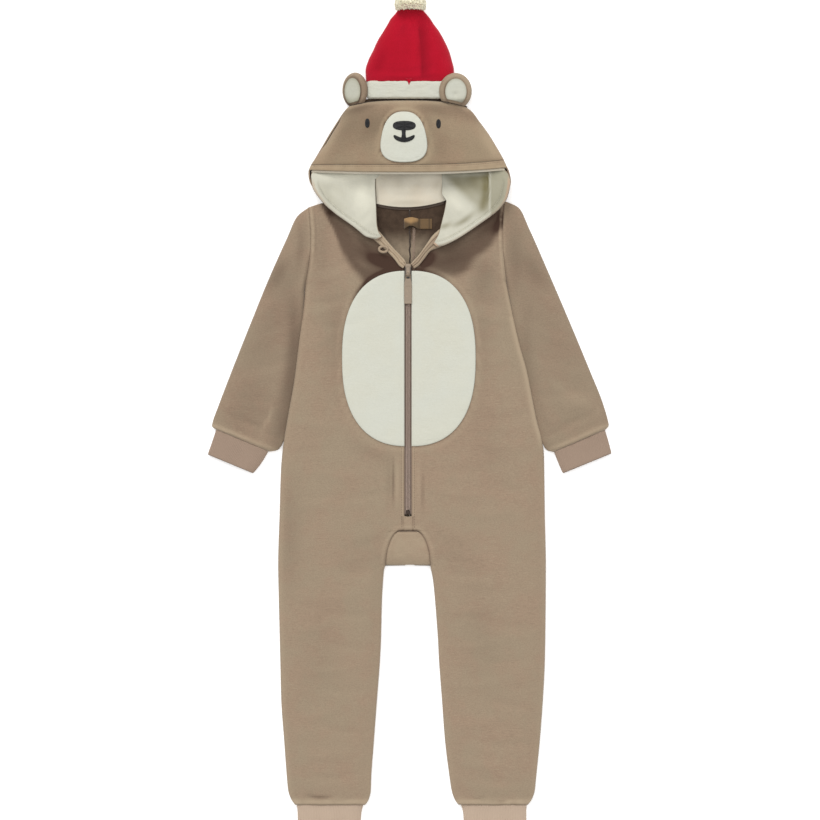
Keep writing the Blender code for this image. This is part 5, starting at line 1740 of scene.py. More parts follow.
def brim_dip(distance):
    """The valley of the seam between the face panel and the brim."""
    return -1.2 * hill(distance, 1.7)


# The face's ovals, of which the muzzle is narrower at its top, and the middle of the mouth
MUZZLE = Oval(FACE_X + 0.2, 382.9, 31.4, 35.6, 2.6, 0.2)
NOSE = Oval(FACE_X + 0.8, 398.5, 16, 6.7, 2.5)
EYES = {
    "right": Oval(FACE_X - 50.8, 402.2, 3.3, 6.6, 2.2),
    "left": Oval(FACE_X + 48.6, 401.2, 3.3, 6.5, 2.2),
}
MOUTH = {"x": FACE_X + 0.6, "y": 378.3, "half_width": 14.8, "rise": 5.6, "thick": 3.1}
PHILTRUM = {"x": FACE_X, "low": 381.6, "high": 393.4, "half_width": 2.6, "flare": 0.9}


def from_muzzle(x, y):
    """Roughly how far out from the muzzle's sewn edge a point lies."""
    up = (y - MUZZLE.y) / MUZZLE.half_height
    across = (x - MUZZLE.x) / (MUZZLE.half_width * (1 - MUZZLE.taper * clamp(up, -1, 1)))
    return (oval(across, up, MUZZLE.power) - 1) * MUZZLE.half_width


def muzzle_valley(x, y):
    """The dent in the face round the sewn muzzle."""
    return 0.8 * hill(from_muzzle(x, y) - 0.5, 2.6)


def make_hood_face():
    """The panel with the bear's face, from the seam over its brow down to the brim."""
    def place(share, down):
        x, y = hood_point(share, HEAD_SEAM, BRIM_SEAM, down)
        drawn_in = 3.4 * smooth((-share - 0.4) / 0.6) * smooth((424 - y) / 24) * smooth((y - 350) / 30)
        if abs(share) > 0.9999 or down == 0:
            return x + drawn_in, y, HOOD_RISE(y) + GAP
        return x + drawn_in, y, hood_top(x, y) + brim_dip((1 - down) * 88) - muzzle_valley(x, y)

    # Painted shading: the face's own table, painted light under the band at the head seam, a dark line at the
    # muzzle's edge and a paler ring beyond it
    def shade(x, y):
        rim = head_seam_y(x) - y
        halo = 0.5 * hill(from_muzzle(x, y) - 0.6, 1.0) - 0.4 * hill(from_muzzle(x, y) - 4, 2.2)
        return creases(HOOD_PAINTED_SHADING, x, y) - 0.8 * hill(rim, 3.6) + halo

    rows = [1.0, 0.995, 0.988] + [share**1.6 for share in steps(46)][-2:0:-1] + [4e-4, 0.0]
    piece, cut = cloth("hood_face_panel", across_hood(96), rows, place, "Hood fleece", FLEECE, shade=shade)
    settle(piece, "tan_fleece", "hood_face")


BRIM = FLEECE + 1
BRIM_WIDTH = 10.5
BRIM_STITCH = 2.6


def brim_point(share, down):
    """A point on the brim, which is rolled at its edge and stitched beside its seam."""
    x, y = hood_point(share, BRIM_SEAM, BRIM_EDGE, down)
    y -= 1.5 * GAP
    if abs(share) > 0.9999:
        return x, y, HOOD_RISE(y) + GAP
    roll = 0.8 * (1 - (2 * down - 1) ** 4) - 1.7 * smooth((down - 0.86) / 0.14) ** 2
    groove = -0.5 * hill(down * BRIM_WIDTH - BRIM_STITCH, 0.8) + brim_dip(down * BRIM_WIDTH)
    return x, y, hood_top(x, y) + roll + groove + 0.35 * swell(x, 4 * down, 9, 71.0)


def make_hood_brim():
    """The turned band along the hood's lower edge."""
    # Painted shading: shade in the seam's valley, painted light over the whole brim and more at its lower
    # edge, a little uneven
    def shade(x, y):
        seam = hood_line(BRIM_SEAM, clamp(x / hood_half(x, BRIM_SEAM.centre), -1, 1)) - y
        edge = 0.5 * hill(BRIM_WIDTH - seam, 2.0)
        return 0.7 * hill(seam, 1.6) - 0.4 - edge + 0.3 * swell(x, y, 8, 145.0)

    piece, cut = cloth(
        "hood_brim_band", across_hood(110), dense(22, 0.6)[::-1], brim_point, "Hood fleece", BRIM, shade=shade
    )
    settle(piece, "tan_fleece", "hood_brim")


def make_hood_back():
    """The outer hood behind the head: flat on the surface, its sides curled up to meet the face."""
    end = HOOD[-1].y

    def shoulder_line(x):
        side = "right" if x < 0 else "left"
        if abs(x) < NECK_POINT[side][0]:
            return back_neck_y(x) + 0.8
        return shoulder_y(side, abs(x)) + 1.2

    def edge_distance(x, y):
        return max(min(hood_half(x, y) - abs(x), head_seam_y(x) - y), 0)

    def place(station, row):
        side_y = mix(HEAD_SEAM.right if station < 0 else HEAD_SEAM.left, end, max(row, 0))
        x = station * hood_half(station, side_y)
        low = shoulder_line(x) if abs(x) < 118 else end
        y = mix(head_seam_y(x), mix(low, end, abs(station) ** 6), max(row, 0))
        rise = HOOD_RISE(y)
        if row < 0:
            return x, y - 5 * row * (1 - station**6), rise - 2 * RISER + row
        height = curl(edge_distance(x, y), rise)
        return x, y, rise - GAP if height > rise - 1e-3 else min(height, rise - RISER)

    rows = [-1, -0.5, -0.1, 0, 4e-4] + [share**1.5 for share in steps(44)][1:]
    piece, cut = cloth(
        "hood_back_panel", across_hood(56, 0.85), rows, place, "Tan fleece", FLEECE, inside="Fleece reverse"
    )
    settle(piece, "tan_fleece", "hood_back")


HEM = 9.5
HEM_STITCH = HEM + 0.8
# Where the hem's stitches start and end, in rows of the wing's table
HEM_STITCHED = (3.0, 8.6)
# How far down each side's lining runs smoothly into the back's, in rows of the wing's table
LAPPED = {"right": 2.6, "left": 4.6}


def lining_point(side, row, share):
    """A point on the hood's side lining, whose open edge is turned, rolled and stitched."""
    x, y, z = wing_point(side, row, share * 0.993)
    width = wing_width(side, row)
    distance = (1 - share) * width
    tucked = smooth((LAPPED[side] - row) / 0.8) * (1 - smooth(share * width / 14))
    x -= SIGN[side] * 7 * tucked
    z -= 1.4 * tucked
    turn = math.sqrt(max(1 - (2 * distance / HEM - 1) ** 2, 0)) if distance < HEM else 0
    bump = 2.6 * turn - 1.2 * hill(distance - HEM_STITCH, 1.6)
    bump *= smooth((row - 2.2) / 1.2) * smooth(width / 14)
    settled = 0.3 * swell(x, y, 15, 81.0) + 0.22 * swell(x, y, 6, 83.0)
    return x, y, z + FLEECE + GAP + PLUSH + bump + settled * smooth(distance / 6)


def lining_shade(x, y):
    """The lining's painted shading: olive painted shade in the fold on the left up to the hood's own facing,
    shade painted over that facing, and the lining's own table.
    """
    past_fold = (x - 45) * 0.70 + (y - 324) * 0.714
    deep = mix(0.34, 0.68, smooth((y - 280) / 44)) + 0.1 * swell(x, y, 14, 154.0)
    fold = deep * smooth(past_fold / 14) * smooth((114.5 - x) / 2.5) * smooth((y - 262) / 24)
    return creases(LINING_PAINTED_SHADING, x, y) + fold + 0.5 * smooth((x - 114) / 3)


def make_hood_side(side):
    """The hood's side over the shoulder: fleece below, and its lining on it."""
    rows = steps(88, 0, WING_ROWS)
    tan = {"right": (0.6, 0.35), "left": (0.85, 0.5)}[side]

    def bare(share, row):
        return wing_point(side, row, share)

    def lined(share, row):
        return lining_point(side, row, share)

    def rim(share, row):
        """The hem turns tan at its rim, and all of it does at the tip."""
        distance = (1 - share) * wing_width(side, row)
        edge = mix(*tan, smooth((row - 3.4) / 1.6)) * (1 - smooth((distance - 2.4) / 3))
        return max(edge * smooth((row - 1.6) / 1.5), 1.2 * smooth((row - 8.4) / 0.4))

    outer, outer_cut = cloth(f"{side}_hood_side", dense(30, 0.6), rows, bare, "Tan fleece", FLEECE,
                             flip=side == "right")
    columns = [share**0.8 for share in dense(60, 0.75)]
    lining, lining_cut = cloth(f"{side}_hood_lining", columns, rows, lined, "Hood edge", PLUSH,
                               flip=side == "left", rim=rim, shade=lining_shade)
    settle(outer, "tan_fleece", f"hood_side_{side}")
    settle(lining, "cream_plush", f"hood_lining_side_{side}")


def make_lining_back():
    """The lining behind the head, which swells a little and ends at the back neck."""
    curves = curves_down(LINING_BACK)
    last, sags = len(LINING_BACK) - 1, 6.2

    def place(share, row):
        band_y, left, right, height = (curve(row) for curve in curves)
        x = mix(left, right, share)
        sag = smooth((row - sags) / (last - sags))
        neck = back_neck_y(x) + 1.5 + NECK_TAPE["tilt"] * x + (last - row) * 6
        y = mix(band_y, neck, sag) if row > sags else band_y
        z = FLEECE + GAP + PLUSH + height * math.sin(math.pi * share)
        fade = math.sin(math.pi * share) ** 0.6 * smooth((row - 4.4) / 1.5) * smooth((last - row) * 2)
        folds = creases(LINING_FOLDS, x, y) + 0.3 * swell(x, y, 12, 90.0)
        return x, y, z + fade * max(folds, -height * 0.8)

    piece, cut = cloth(
        "hood_lining_back_panel", dense(56, 0.5), steps(80, 0, last)[::-1], place, "Cream lining", PLUSH,
        shade=lining_shade,
    )
    settle(piece, "cream_plush", "hood_lining_back")


def make_lining_crown():
    """The lining under the face panel and the brim, which shows from the feet."""
    def place(share, down):
        x, y = hood_point(share, HEAD_SEAM, BRIM_EDGE, mix(0.12, 1.03, down))
        return x, y, hood_top(x, y)

    shares = [0.985 * share for share in both_ways(48, 0.7)]
    piece, cut = cloth(
        "hood_lining_crown", shares, dense(30, 0.4)[::-1], place, "Cream lining", PLUSH,
        behind=BRIM + 3 * GAP,
    )
    settle(piece, "cream_plush", "hood_lining_top")


# ---------------------------------------------------------------- ears

def make_ear(side):
    """An ear of fleece, stuffed a little, with a lens of plush sewn inside its rim."""
    ear, plain = EARS[side], side == "left"
    turns = steps(88, 0, 2 * math.pi)
    reaches = [-1, -0.8, -0.6, -0.4, -0.25, -0.14, -0.07, -0.03, 0]
    reaches += [0.012, 0.03, 0.06, 0.1, 0.15, 0.2, 0.26] + steps(14, 0.33, 1)
    lens_reaches = [-1, -0.7, -0.4, -0.2, -0.08, -0.02, 0.02, 0.05, 0.1, 0.17, 0.25] + steps(10, 0.34, 1)

    def outer(turn, row):
        reach = 1 - abs(row)
        x, y = ear_outline(ear, turn, reach)
        low = ear_under(side, x, y) + 1.5 * reach**4
        if row < 0:
            return x, y, low
        rim = 0.5 * swell(9 * math.cos(turn), 9 * math.sin(turn), 3.4, 7.0) * hill(reach - 0.88, 0.1)
        return x, y, max(ear_top(side, x, y) + rim + 0.2 * swell(x, y, 6, 8.0) * clamp(row * 6), low)

    lens = ear._replace(
        x=ear.inner_x, y=ear.inner_y, half_width=ear.inner_half_width, half_height=ear.inner_half_height
    )

    def inner(turn, row):
        reach = 1 - abs(row)
        x, y = ear_outline(lens, turn, reach, 4)
        base = ear_top(side, x, y) + 3 * GAP
        if row <= 0:
            return x, y, base
        dimple = -1.5 * hill(math.hypot(x - lens.x + 0.5, y - lens.y + 4), 3.2) if plain else 0
        top = base + PATCH + 0.9 * (1 - reach**3) + dimple + 0.25 * swell(x, y, 5, 9.0)
        return x, y, max(top, base + 0.4)

    # Painted shading: a dark line round the lens, shade at the ear's base and on its side towards the hat,
    # and the left ear paler all over
    def shade(x, y):
        seam = (ear_reach(lens, x, y) - 1) * lens.half_width
        low = smooth((ear.y - 8 - y) / 16)
        inner_side = smooth((-SIGN[side] * (x - ear.x) - 4) / 12)
        sides = mix(0.45, 0.1, plain) * low + 0.3 * inner_side * (1 - low)
        return 0.5 * hill(seam - 0.6, 1.4) + sides - mix(0.02, 0.3, plain)

    # Painted shade over the lens, deeper at its rim and at its foot
    def lens_shade(x, y):
        rim = (1 - ear_reach(lens, x, y)) * lens.half_width
        base = mix(0.26, 0.12, plain)
        return base + 0.25 * hill(rim, 2.2) + 0.2 * smooth((lens.y - 4 - y) / 12)

    back, _ = cloth(f"{side}_ear", turns, reaches, outer, "Tan fleece", closed=True, shade=shade)
    front, _ = cloth(
        f"{side}_inner_ear", turns, lens_reaches, inner, "Cream plush", closed=True, shade=lens_shade
    )
    settle(back, "tan_fleece", f"ear_{side}")
    settle(front, "cream_plush", f"ear_inner_{side}")


# ---------------------------------------------------------------- hat

def as_rings(bands):
    """Level bands across the hat as the rings of a tube."""
    return [Ring(band.left, band.y, band.right, band.y, band.height) for band in bands]


def hat_shade(x, y):
    """Painted shade past the hat's long fold, crisp on one side and soft on the other, with the hat's own
    table.
    """
    past = x - 14.5 + 0.05 * (y - 505)
    fold = smooth(past / 2.6) * (1 - smooth((past - 3) / 18))
    ends = smooth((y - 462) / 14) * smooth((552 - y) / 26)
    return creases(HAT_PAINTED_SHADING, x, y) + 0.42 * fold * ends


def make_hat():
    """The hat, and the tip of its centre seam, which is one cut with it."""
    def relief(x, y, row):
        return creases(HAT_FOLDS, x, y) + 1.4 * pile(x, y, 100.0) - 1.0 * hill(y - HAT[0].y, 3.0)

    piece, cut = tube(
        "red_hat", as_rings(HAT), 1, "Red plush", FLEECE, 1.8, (52, 24), reach=26, relief=relief,
        shade=hat_shade,
    )
    settle(piece, "red_plush", "hat")

    def point(column, row):
        """The tip of the hat's centre seam, which dips over the band."""
        x = 1.4 + column * (0.5 + 4.2 * (1 - row) ** 1.6)
        y = mix(465, 456.5, row)
        return x, y, HAT_BAND[2].height + 2.6 + 0.4 * (1 - column * column) - 1.3 * row

    tip, _ = cloth("hat_seam_tip", steps(8, -1, 1), steps(10)[::-1], point, "Red plush", PATCH)
    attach(tip, "garment")


def make_hat_band():
    """The plush turn-up of the hat, thick and uneven."""
    last = len(HAT_BAND) - 1

    def relief(x, y, row):
        return 1.3 * math.sin(math.pi * row / last) + 0.5 * swell(x, y, 9, 110.0)

    def puff(column, row):
        return 0.45 * noise.noise(Vector((column * 0.55, row * 4.5, 3.0))) - 0.45

    piece, cut = tube(
        "plush_hat_band", as_rings(HAT_BAND), 1, "Cream plush", 2.5, 1.1, (64, 34), reach=18,
        relief=relief, puff=puff,
    )
    settle(piece, "cream_plush", "hat_band")


POMPOM_CENTRE = Vector((POMPOM["x"], POMPOM["y"], POMPOM["half_height"]))


def pompom_point(turn, lift, out=0.0):
    """A point on the pompom, which is pressed flat where it rests, moved out by a distance."""
    radius, half = POMPOM["radius"] + out, POMPOM["half_height"] + out
    z = max(POMPOM["half_height"] - POMPOM["sink"] + half * math.sin(lift), 0.0)
    across = radius * math.cos(lift)
    return Vector((POMPOM["x"] + across * math.cos(turn), POMPOM["y"] + across * math.sin(turn), z))


def make_pompom():
    """A plush ball with a dense coat of tufts, whose lower part is under the tip of the hat."""
    tip = HAT[-1].y - 1

    def place(turn, lift):
        spot = pompom_point(turn, lift)
        clump = 1.5 * noise.noise(spot / 5.5) - 1.2
        part = -2.6 * hill(spot.x + 1.5, 2.4) * smooth((POMPOM["y"] - 2 - spot.y) / 12)
        made = pompom_point(turn, lift, (clump + part) * smooth(spot.z / 6))
        made.z = min(made.z, mix(5.5, 40, smooth((made.y - tip) / 12)))
        return made

    core, _ = cloth(
        "plush_pompom", steps(96, 0, 2 * math.pi), steps(48, -math.pi / 2, math.pi / 2), place,
        "Pompom plush", closed=True,
    )
    settle(core, "cream_plush", "pompom")

    chance = random.Random(7)
    longest = size("tuft_length")
    bm = bmesh.new()
    for _ in range(bpy.context.scene.bear_sizes.tufts):
        turn, up = chance.uniform(0, 2 * math.pi), chance.uniform(-0.62, 1)
        lift = math.asin(up)
        root = pompom_point(turn, lift, -2.0)
        if root.y < POMPOM["y"] - 7:
            continue
        outwards = (root - POMPOM_CENTRE).normalized()
        lean = Vector([chance.uniform(-0.55, 0.55) for _ in range(3)]) + Vector((0, -0.2, 0))
        reach = longest * chance.uniform(0.5, 1)
        way = (outwards + lean).normalized() * reach
        way.z = max(way.z, 0.4 - root.z)
        made = bmesh.ops.create_cone(
            bm, segments=3, radius1=chance.uniform(0.5, 0.85), radius2=0.1, depth=reach
        )
        turned = way.to_track_quat("Z", "Y").to_matrix()
        bmesh.ops.rotate(bm, verts=made["verts"], cent=(0, 0, 0), matrix=turned)
        bmesh.ops.translate(bm, verts=made["verts"], vec=root + way / 2)
    bmesh.ops.scale(bm, verts=bm.verts, vec=(MM, MM, MM))
    tufts = finished("pompom_tufts", bm, "Pompom plush", sharp=180)
    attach(tufts, "garment")


# ---------------------------------------------------------------- the bear's face

# How far the muzzle's plush swells, and what the stitching stands on
PLUSH_SWELL = 0.75
ON_FACE = GAP
ON_MUZZLE = 2 * GAP + PATCH + PLUSH_SWELL


def patch(name, shape, base, finish, thick, turns=96, grain=None):
    """A sewn patch with an oval outline, moved out from the face by base. A taper narrows its top."""
    def place(turn, row):
        reach = 1 - abs(row)
        cos, sin = math.cos(turn), math.sin(turn)
        scale = reach / oval(cos, sin, shape.power)
        across = shape.half_width * scale * cos * (1 - shape.taper * scale * sin)
        point = shape.x + across, shape.y + shape.half_height * scale * sin
        floor = hood_top(*point) + base
        if row <= 0:
            return *point, floor
        inside = (1 - reach) * min(shape.half_width, shape.half_height)
        return *point, floor + thick * rounded(inside, 1.6 * thick) + (grain(*point, inside) if grain else 0)

    rows = [-1, -0.7, -0.4, -0.2, -0.08, -0.02, 0, 0.01, 0.025, 0.045, 0.07, 0.1, 0.14, 0.19]
    rows += steps(14, 0.25, 1)
    return cloth(name, steps(turns, 0, 2 * math.pi), rows, place, finish, closed=True)[0]


def satin(pitch, slope=0.0):
    """Satin stitch: threads side by side, each a small ridge that runs up the patch."""
    def grain(x, y, inside):
        return 0.16 * math.cos(2 * math.pi * (x + slope * y) / pitch) * clamp(inside / 0.4)

    return grain


def make_face():
    """The muzzle patch, and the nose, eyes and mouth stitched in black."""
    def plush(x, y, inside):
        return PLUSH_SWELL * rounded(inside, 6) - 0.45 * hill(inside - 2.6, 0.9) + 0.2 * swell(x, y, 6, 120.0)

    pitch = size("satin_pitch")
    muzzle = patch("muzzle_patch", MUZZLE, ON_FACE, "Cream plush", PATCH, turns=160, grain=plush)
    settle(muzzle, "cream_plush", "muzzle")
    nose = patch(
        "nose_stitching", NOSE, ON_MUZZLE, "Black thread", THREAD, turns=200, grain=satin(pitch)
    )
    settle(nose, "black_thread", "nose")
    for side in SIDES:
        grain = satin(pitch, -0.15 * SIGN[side])
        eye = patch(f"{side}_eye_stitching", EYES[side], ON_FACE, "Black thread", THREAD, grain=grain)
        settle(eye, "black_thread", f"eye_{side}")

    def ridge(along):
        return 0.12 * math.cos(2 * math.pi * along / pitch)

    def philtrum(across, up):
        half = PHILTRUM["half_width"] + PHILTRUM["flare"] * (2 * up - 1) ** 2
        x, y = PHILTRUM["x"] + across * half, mix(PHILTRUM["low"], PHILTRUM["high"], up)
        return x, y, hood_top(x, y) + ON_MUZZLE + THREAD + ridge(y) - 0.35 * across**2

    def smile(across, up):
        thick = MOUTH["thick"] * math.sqrt(max(1 - abs(across) ** 9, 0.02))
        x = MOUTH["x"] + MOUTH["half_width"] * across
        y = MOUTH["y"] + MOUTH["rise"] * across**2 + thick * up
        return x, y, hood_top(x, y) + ON_MUZZLE + THREAD + ridge(x) - 0.35 * up**2

    for name, columns, rows, place, node in (
        ("philtrum_stitching", steps(6, -1, 1), steps(60), philtrum, "philtrum"),
        ("mouth_stitching", steps(150, -1, 1), steps(6, -1, 1), smile, "mouth"),
    ):
        settle(cloth(name, columns, rows, place, "Black thread", THREAD)[0], "black_thread", node)


# ---------------------------------------------------------------- the zip

COIL_DROP = GAP + FLEECE
TAPE = 0.8
STOP = {"low": -144.5, "high": -139.5, "half_width": 3.0}
TEETH = {"low": -138.5, "high": 190.0, "loop": 0.75, "thread": 0.48}


def make_zip():
    """Two woven tapes under the front's edges, a row of nylon teeth on each, and the bottom stop."""
    level_rows = steps(130, ZIP_END + 2, 206)
    for side in SIDES:
        def strip(column, y, side=side):
            x = SIGN[side] * mix(0.9, TAPE_REACH, column)
            return x, y, zip_level(y) - COIL_DROP + 0.15 * swell(x, y, 11, 130.0)

        tape, _ = cloth(f"{side}_tape", steps(8), level_rows, strip, "Zip tape", TAPE, flip=side == "right")
        settle(tape, "zip_tape", f"zip_tape_{side}")
        settle(make_teeth(side), "zip_coil", "zip_coil")

    def stop(column, row):
        x, y = STOP["half_width"] * column, mix(STOP["low"], STOP["high"], row)
        return x, y, zip_level(y) - COIL_DROP + GAP + COIL_RISE + 0.25 - 0.7 * abs(column) ** 6

    bar, _ = cloth("bottom_stop", steps(12, -1, 1), steps(6), stop, "Brown thread", COIL_RISE)
    settle(bar, "painted_metal", "zip_stop")


def make_teeth(side):
    """One row of the zip's teeth: a coil of nylon, each turn of which is a tooth."""
    pitch = size("tooth_pitch")
    turns = int((TEETH["high"] - TEETH["low"]) / pitch)
    per_turn, around = 10, 6
    offset = 0.5 * pitch if side == "left" else 0.0

    def place(column, row):
        turn = 2 * math.pi * row / per_turn
        y = TEETH["low"] + pitch * row / per_turn + offset
        centre = Vector((SIGN[side] * (1.45 - 1.15 * math.cos(turn)), y, TEETH["loop"] * math.sin(turn)))
        out = Vector((-SIGN[side] * math.cos(turn), 0, math.sin(turn)))
        spin = 2 * math.pi * column / around
        spot = centre + TEETH["thread"] * (out * math.cos(spin) + Vector((0, 1, 0)) * math.sin(spin))
        return spot.x, spot.y, spot.z + zip_level(y) - COIL_DROP + GAP + 0.9

    return cloth(
        f"{side}_zip_teeth", steps(around, 0, around), steps(turns * per_turn, 0, turns * per_turn),
        place, "Zip coil", closed=True,
    )[0]


def pivot_z():
    """The height of the pull's pin."""
    return zip_level(PIVOT_Y) + GAP + SLIDER["plate"] + PIVOT_RISE


def make_slider():
    """The slider: a shield-shaped plate, narrower below, with the bail that holds the pull."""
    level = zip_level(PIVOT_Y) + GAP
    middle, half_long = (SLIDER["low"] + SLIDER["high"]) / 2, (SLIDER["high"] - SLIDER["low"]) / 2

    def plate(turn, row):
        reach = 1 - abs(row)
        cos, sin = math.cos(turn), math.sin(turn)
        scale = reach / oval(cos, sin, 5)
        half = mix(SLIDER["half_low"], SLIDER["half_high"], smooth(0.8 * (1 + sin * scale)))
        x, y = half * scale * cos, middle + half_long * scale * sin
        if row <= 0:
            return x, y, level
        pressed = 0.35 * smooth((0.62 - reach) / 0.08) * smooth((y - PIVOT_Y - 4) / 1.5)
        return x, y, level + SLIDER["plate"] * rounded((1 - reach) * SLIDER["half_high"], 1.1) - pressed

    def bail(turn, row):
        cos, sin = math.cos(turn), math.sin(turn)
        scale = 1 / oval(cos, sin, 3)
        radius = (BAIL_RADIUS + PIN_HOLE) / 2 + (BAIL_RADIUS - PIN_HOLE) / 2 * scale * sin
        return 1.2 * scale * cos, PIVOT_Y + radius * math.cos(row), pivot_z() + radius * math.sin(row)

    # Painted shade: near black in the throat at the slider's foot, and dark along its sides
    def painted_hollow_shade(turn, row):
        x, y, _ = plate(turn, row)
        mouth = smooth((188.6 - y) / 1.2)
        return max(mouth, 0.75 * smooth((abs(x) - 2.0) / 1.2) * smooth((204 - y) / 4))

    rows = [-1, -0.5, 0, 0.01, 0.025, 0.05, 0.08, 0.12, 0.17, 0.23, 0.3, 0.36, 0.4, 0.44, 0.48, 0.6, 0.8, 1]
    piece, _ = cloth(
        "slider_plate", steps(64, 0, 2 * math.pi), rows, plate, "Painted metal", closed=True, rim=painted_hollow_shade
    )
    settle(piece, "painted_metal", "zip_slider")
    ring, _ = cloth(
        "slider_bail", steps(16, 0, 2 * math.pi), steps(36, 0, 2 * math.pi), bail, "Painted metal",
        closed=True,
    )
    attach(ring, "garment")


Pull = namedtuple("Pull", "y half drop")


def make_pull():
    """The pull: a pin through the bail, two arms, and a flat tab that lies down along the zip."""
    centre = pivot_z()
    rest = zip_level(PIVOT_Y) + 3.4 - centre
    shape = [
        Pull(-41, 4.6, rest), Pull(-40.2, 5.2, rest), Pull(-22, 5.3, rest), Pull(-13, 5.1, rest + 0.1),
        Pull(-9, 4.6, rest + 0.4), Pull(-4.2, 3.6, -0.3), Pull(0.6, 3.5, 0.65),
    ]
    half_at = Curve([(row.y, row.half) for row in shape])
    top_at = Curve([(row.y, row.drop) for row in shape])
    window_half, window_low, thick, pin_long = 2.3, -5.6, 1.3, 5.0
    low, high = shape[0].y, shape[-1].y
    rows = [low, low + 0.15, low + 0.4, low + 0.8] + steps(46, low + 1.4, window_low - 1)
    rows += [window_low - 0.5, window_low - 0.2, window_low] + steps(8, window_low + 0.4, high - 0.4)
    rows += [high - 0.15, high]

    def place(column, y):
        half = half_at(y)
        if abs(column) <= 1:
            x = window_half * column
        else:
            x = math.copysign(mix(window_half, half, abs(column) - 1), column)
        edge = min(half - abs(x), y - low, high - y)
        if y > window_low:
            edge = min(edge, abs(x) - window_half)
        elif y > window_low - 1.2 and abs(x) < window_half:
            edge = min(edge, window_low - y)
        ends = smooth((y + 38.5) / 0.6) * smooth((-16 - y) / 0.6)
        pressed = 0.28 * smooth((half - abs(x) - 1.3) / 0.5) * ends
        return x, PIVOT_Y + y, centre + top_at(y) - 0.45 * (1 - rounded(max(edge, 0), 0.6)) - pressed

    columns = [0, 0.3, 0.6, 0.85, 1] + [1.15, 1.35, 1.6, 1.8, 1.92, 2]
    columns = [-column for column in columns[:0:-1]] + columns
    tab, _ = cloth("pull_tab_plate", columns, rows, place, "Painted metal", 0, sharp=40)
    bm = bmesh.new()
    bm.from_mesh(tab.data)
    gone = [
        face for face in bm.faces
        if abs(face.calc_center_median().x) < window_half * MM
        and face.calc_center_median().y > (PIVOT_Y + window_low) * MM
    ]
    bmesh.ops.delete(bm, geom=gone, context="FACES")
    bmesh.ops.solidify(bm, geom=bm.faces, thickness=thick * MM)
    made = bmesh.ops.create_cone(
        bm, cap_ends=True, segments=20, radius1=PIN * MM, radius2=PIN * MM, depth=pin_long * MM
    )
    for vert in made["verts"]:
        vert.co = vert.co.z, vert.co.x + PIVOT_Y * MM, vert.co.y + centre * MM
    bmesh.ops.recalc_face_normals(bm, faces=bm.faces)
    bm.to_mesh(tab.data)
    bm.free()
    tab.data.set_sharp_from_angle(angle=math.radians(40))
    settle(tab, "painted_metal", "zip_pull", body="pull_tab")


# ---------------------------------------------------------------- stitching

def run_along(path, pitch):
    """Spots at an even pitch along a line of points, each with the line's direction there."""
    at = lengths(path)
    count = int(at[-1] / pitch)
    spots = []
    for index in range(count):
        goal = (index + 0.5) * pitch
        low = clamp(bisect_right(at, goal) - 1, 0, len(path) - 2)
        share = (goal - at[low]) / max(at[low + 1] - at[low], 1e-9)
        spots.append((path[low].lerp(path[low + 1], share), (path[low + 1] - path[low]).normalized()))
    return spots


def sewn(name, lines, finish, slant=0.0, long=None, pitch=None, thick=1.0):
    """Rows of separate stitches, a row on each line of points, with each stitch sunk by half."""
    long = long or size("stitch_length")
    radius = thick * size("stitch_radius")
    bm = bmesh.new()
    for line in lines:
        for spot, way in run_along([Vector(point) for point in line], pitch or size("stitch_pitch")):
            made = bmesh.ops.create_uvsphere(bm, u_segments=8, v_segments=6, radius=1)["verts"]
            bmesh.ops.scale(bm, verts=made, vec=(radius, radius, long / 2))
            turned = way.to_track_quat("Z", "X").to_matrix()
            bmesh.ops.rotate(bm, verts=made, cent=(0, 0, 0), matrix=turned)
            if slant:
                bmesh.ops.rotate(bm, verts=made, cent=(0, 0, 0), matrix=Matrix.Rotation(slant, 3, "Z"))
            bmesh.ops.translate(bm, verts=made, vec=spot)
    bmesh.ops.scale(bm, verts=bm.verts, vec=(MM, MM, MM))
    piece = finished(name, bm, finish, sharp=180)
    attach(piece, "garment")


def make_stitching():
    """The topstitches beside the zip, on the brim and along the hood's hems."""
    def beside_zip(side):
        line = []
        for y in steps(80, BELLY["y"] - BELLY["half_height"] - 2, GUSSET_TOP + 3):
            line.append((SIGN[side] * TOPSTITCH, y, front_top(side, TOPSTITCH, y) + 0.1))
        return line

    sewn("zip_topstitches", [beside_zip(side) for side in SIDES], "Tan thread")

    share_along = BRIM_STITCH / BRIM_WIDTH
    brim = [brim_point(share, share_along) for share in steps(200, -0.97, 0.97)]
    sewn("brim_topstitches", [[(x, y, z + 0.1) for x, y, z in brim]], "Tan thread")

    def hem(side):
        line = []
        for row in steps(160, *HEM_STITCHED):
            share = 1 - HEM_STITCH / wing_width(side, row)
            if share > 0.1:
                x, y, z = lining_point(side, row, share)
                line.append((x, y, z + 0.15))
        return line

    sewn("hood_hem_stitches", [hem(side) for side in SIDES], "Cream thread")


def make_back_neck_seams():
    """The centre seam inside the back neck, and the overlocked edge beside it."""
    def line(x, top):
        spots = [(x + 0.9 * swell(x, y, 6, 147.0), y) for y in steps(40, NECK_SEAM["low"], top)]
        return [(along, y, back_low("left", along, y) + FLEECE + 0.1) for along, y in spots]

    seam = line(CENTRE_BACK, NECK_SEAM["high"])
    edge = line(CENTRE_BACK + NECK_SEAM["edge"], NECK_SEAM["edge_high"])
    sewn("back_neck_seam", [seam], "Brown thread", pitch=2.2, long=3.0, thick=5.4)
    sewn(
        "back_neck_overlock", [edge], "Tan rib",
        slant=math.radians(68), long=5.0, pitch=1.6, thick=2.4,
    )


# ---------------------------------------------------------------- stage

# The floor is a hair under the cloth, so that their faces never lie in one plane
FLOOR_DROP = 0.1
FLOOR_HALF = 3.0
ROOM_LIGHT = 0.45
LENS = 250
CAMERA = (0.0028, 0.0014, 7.985)
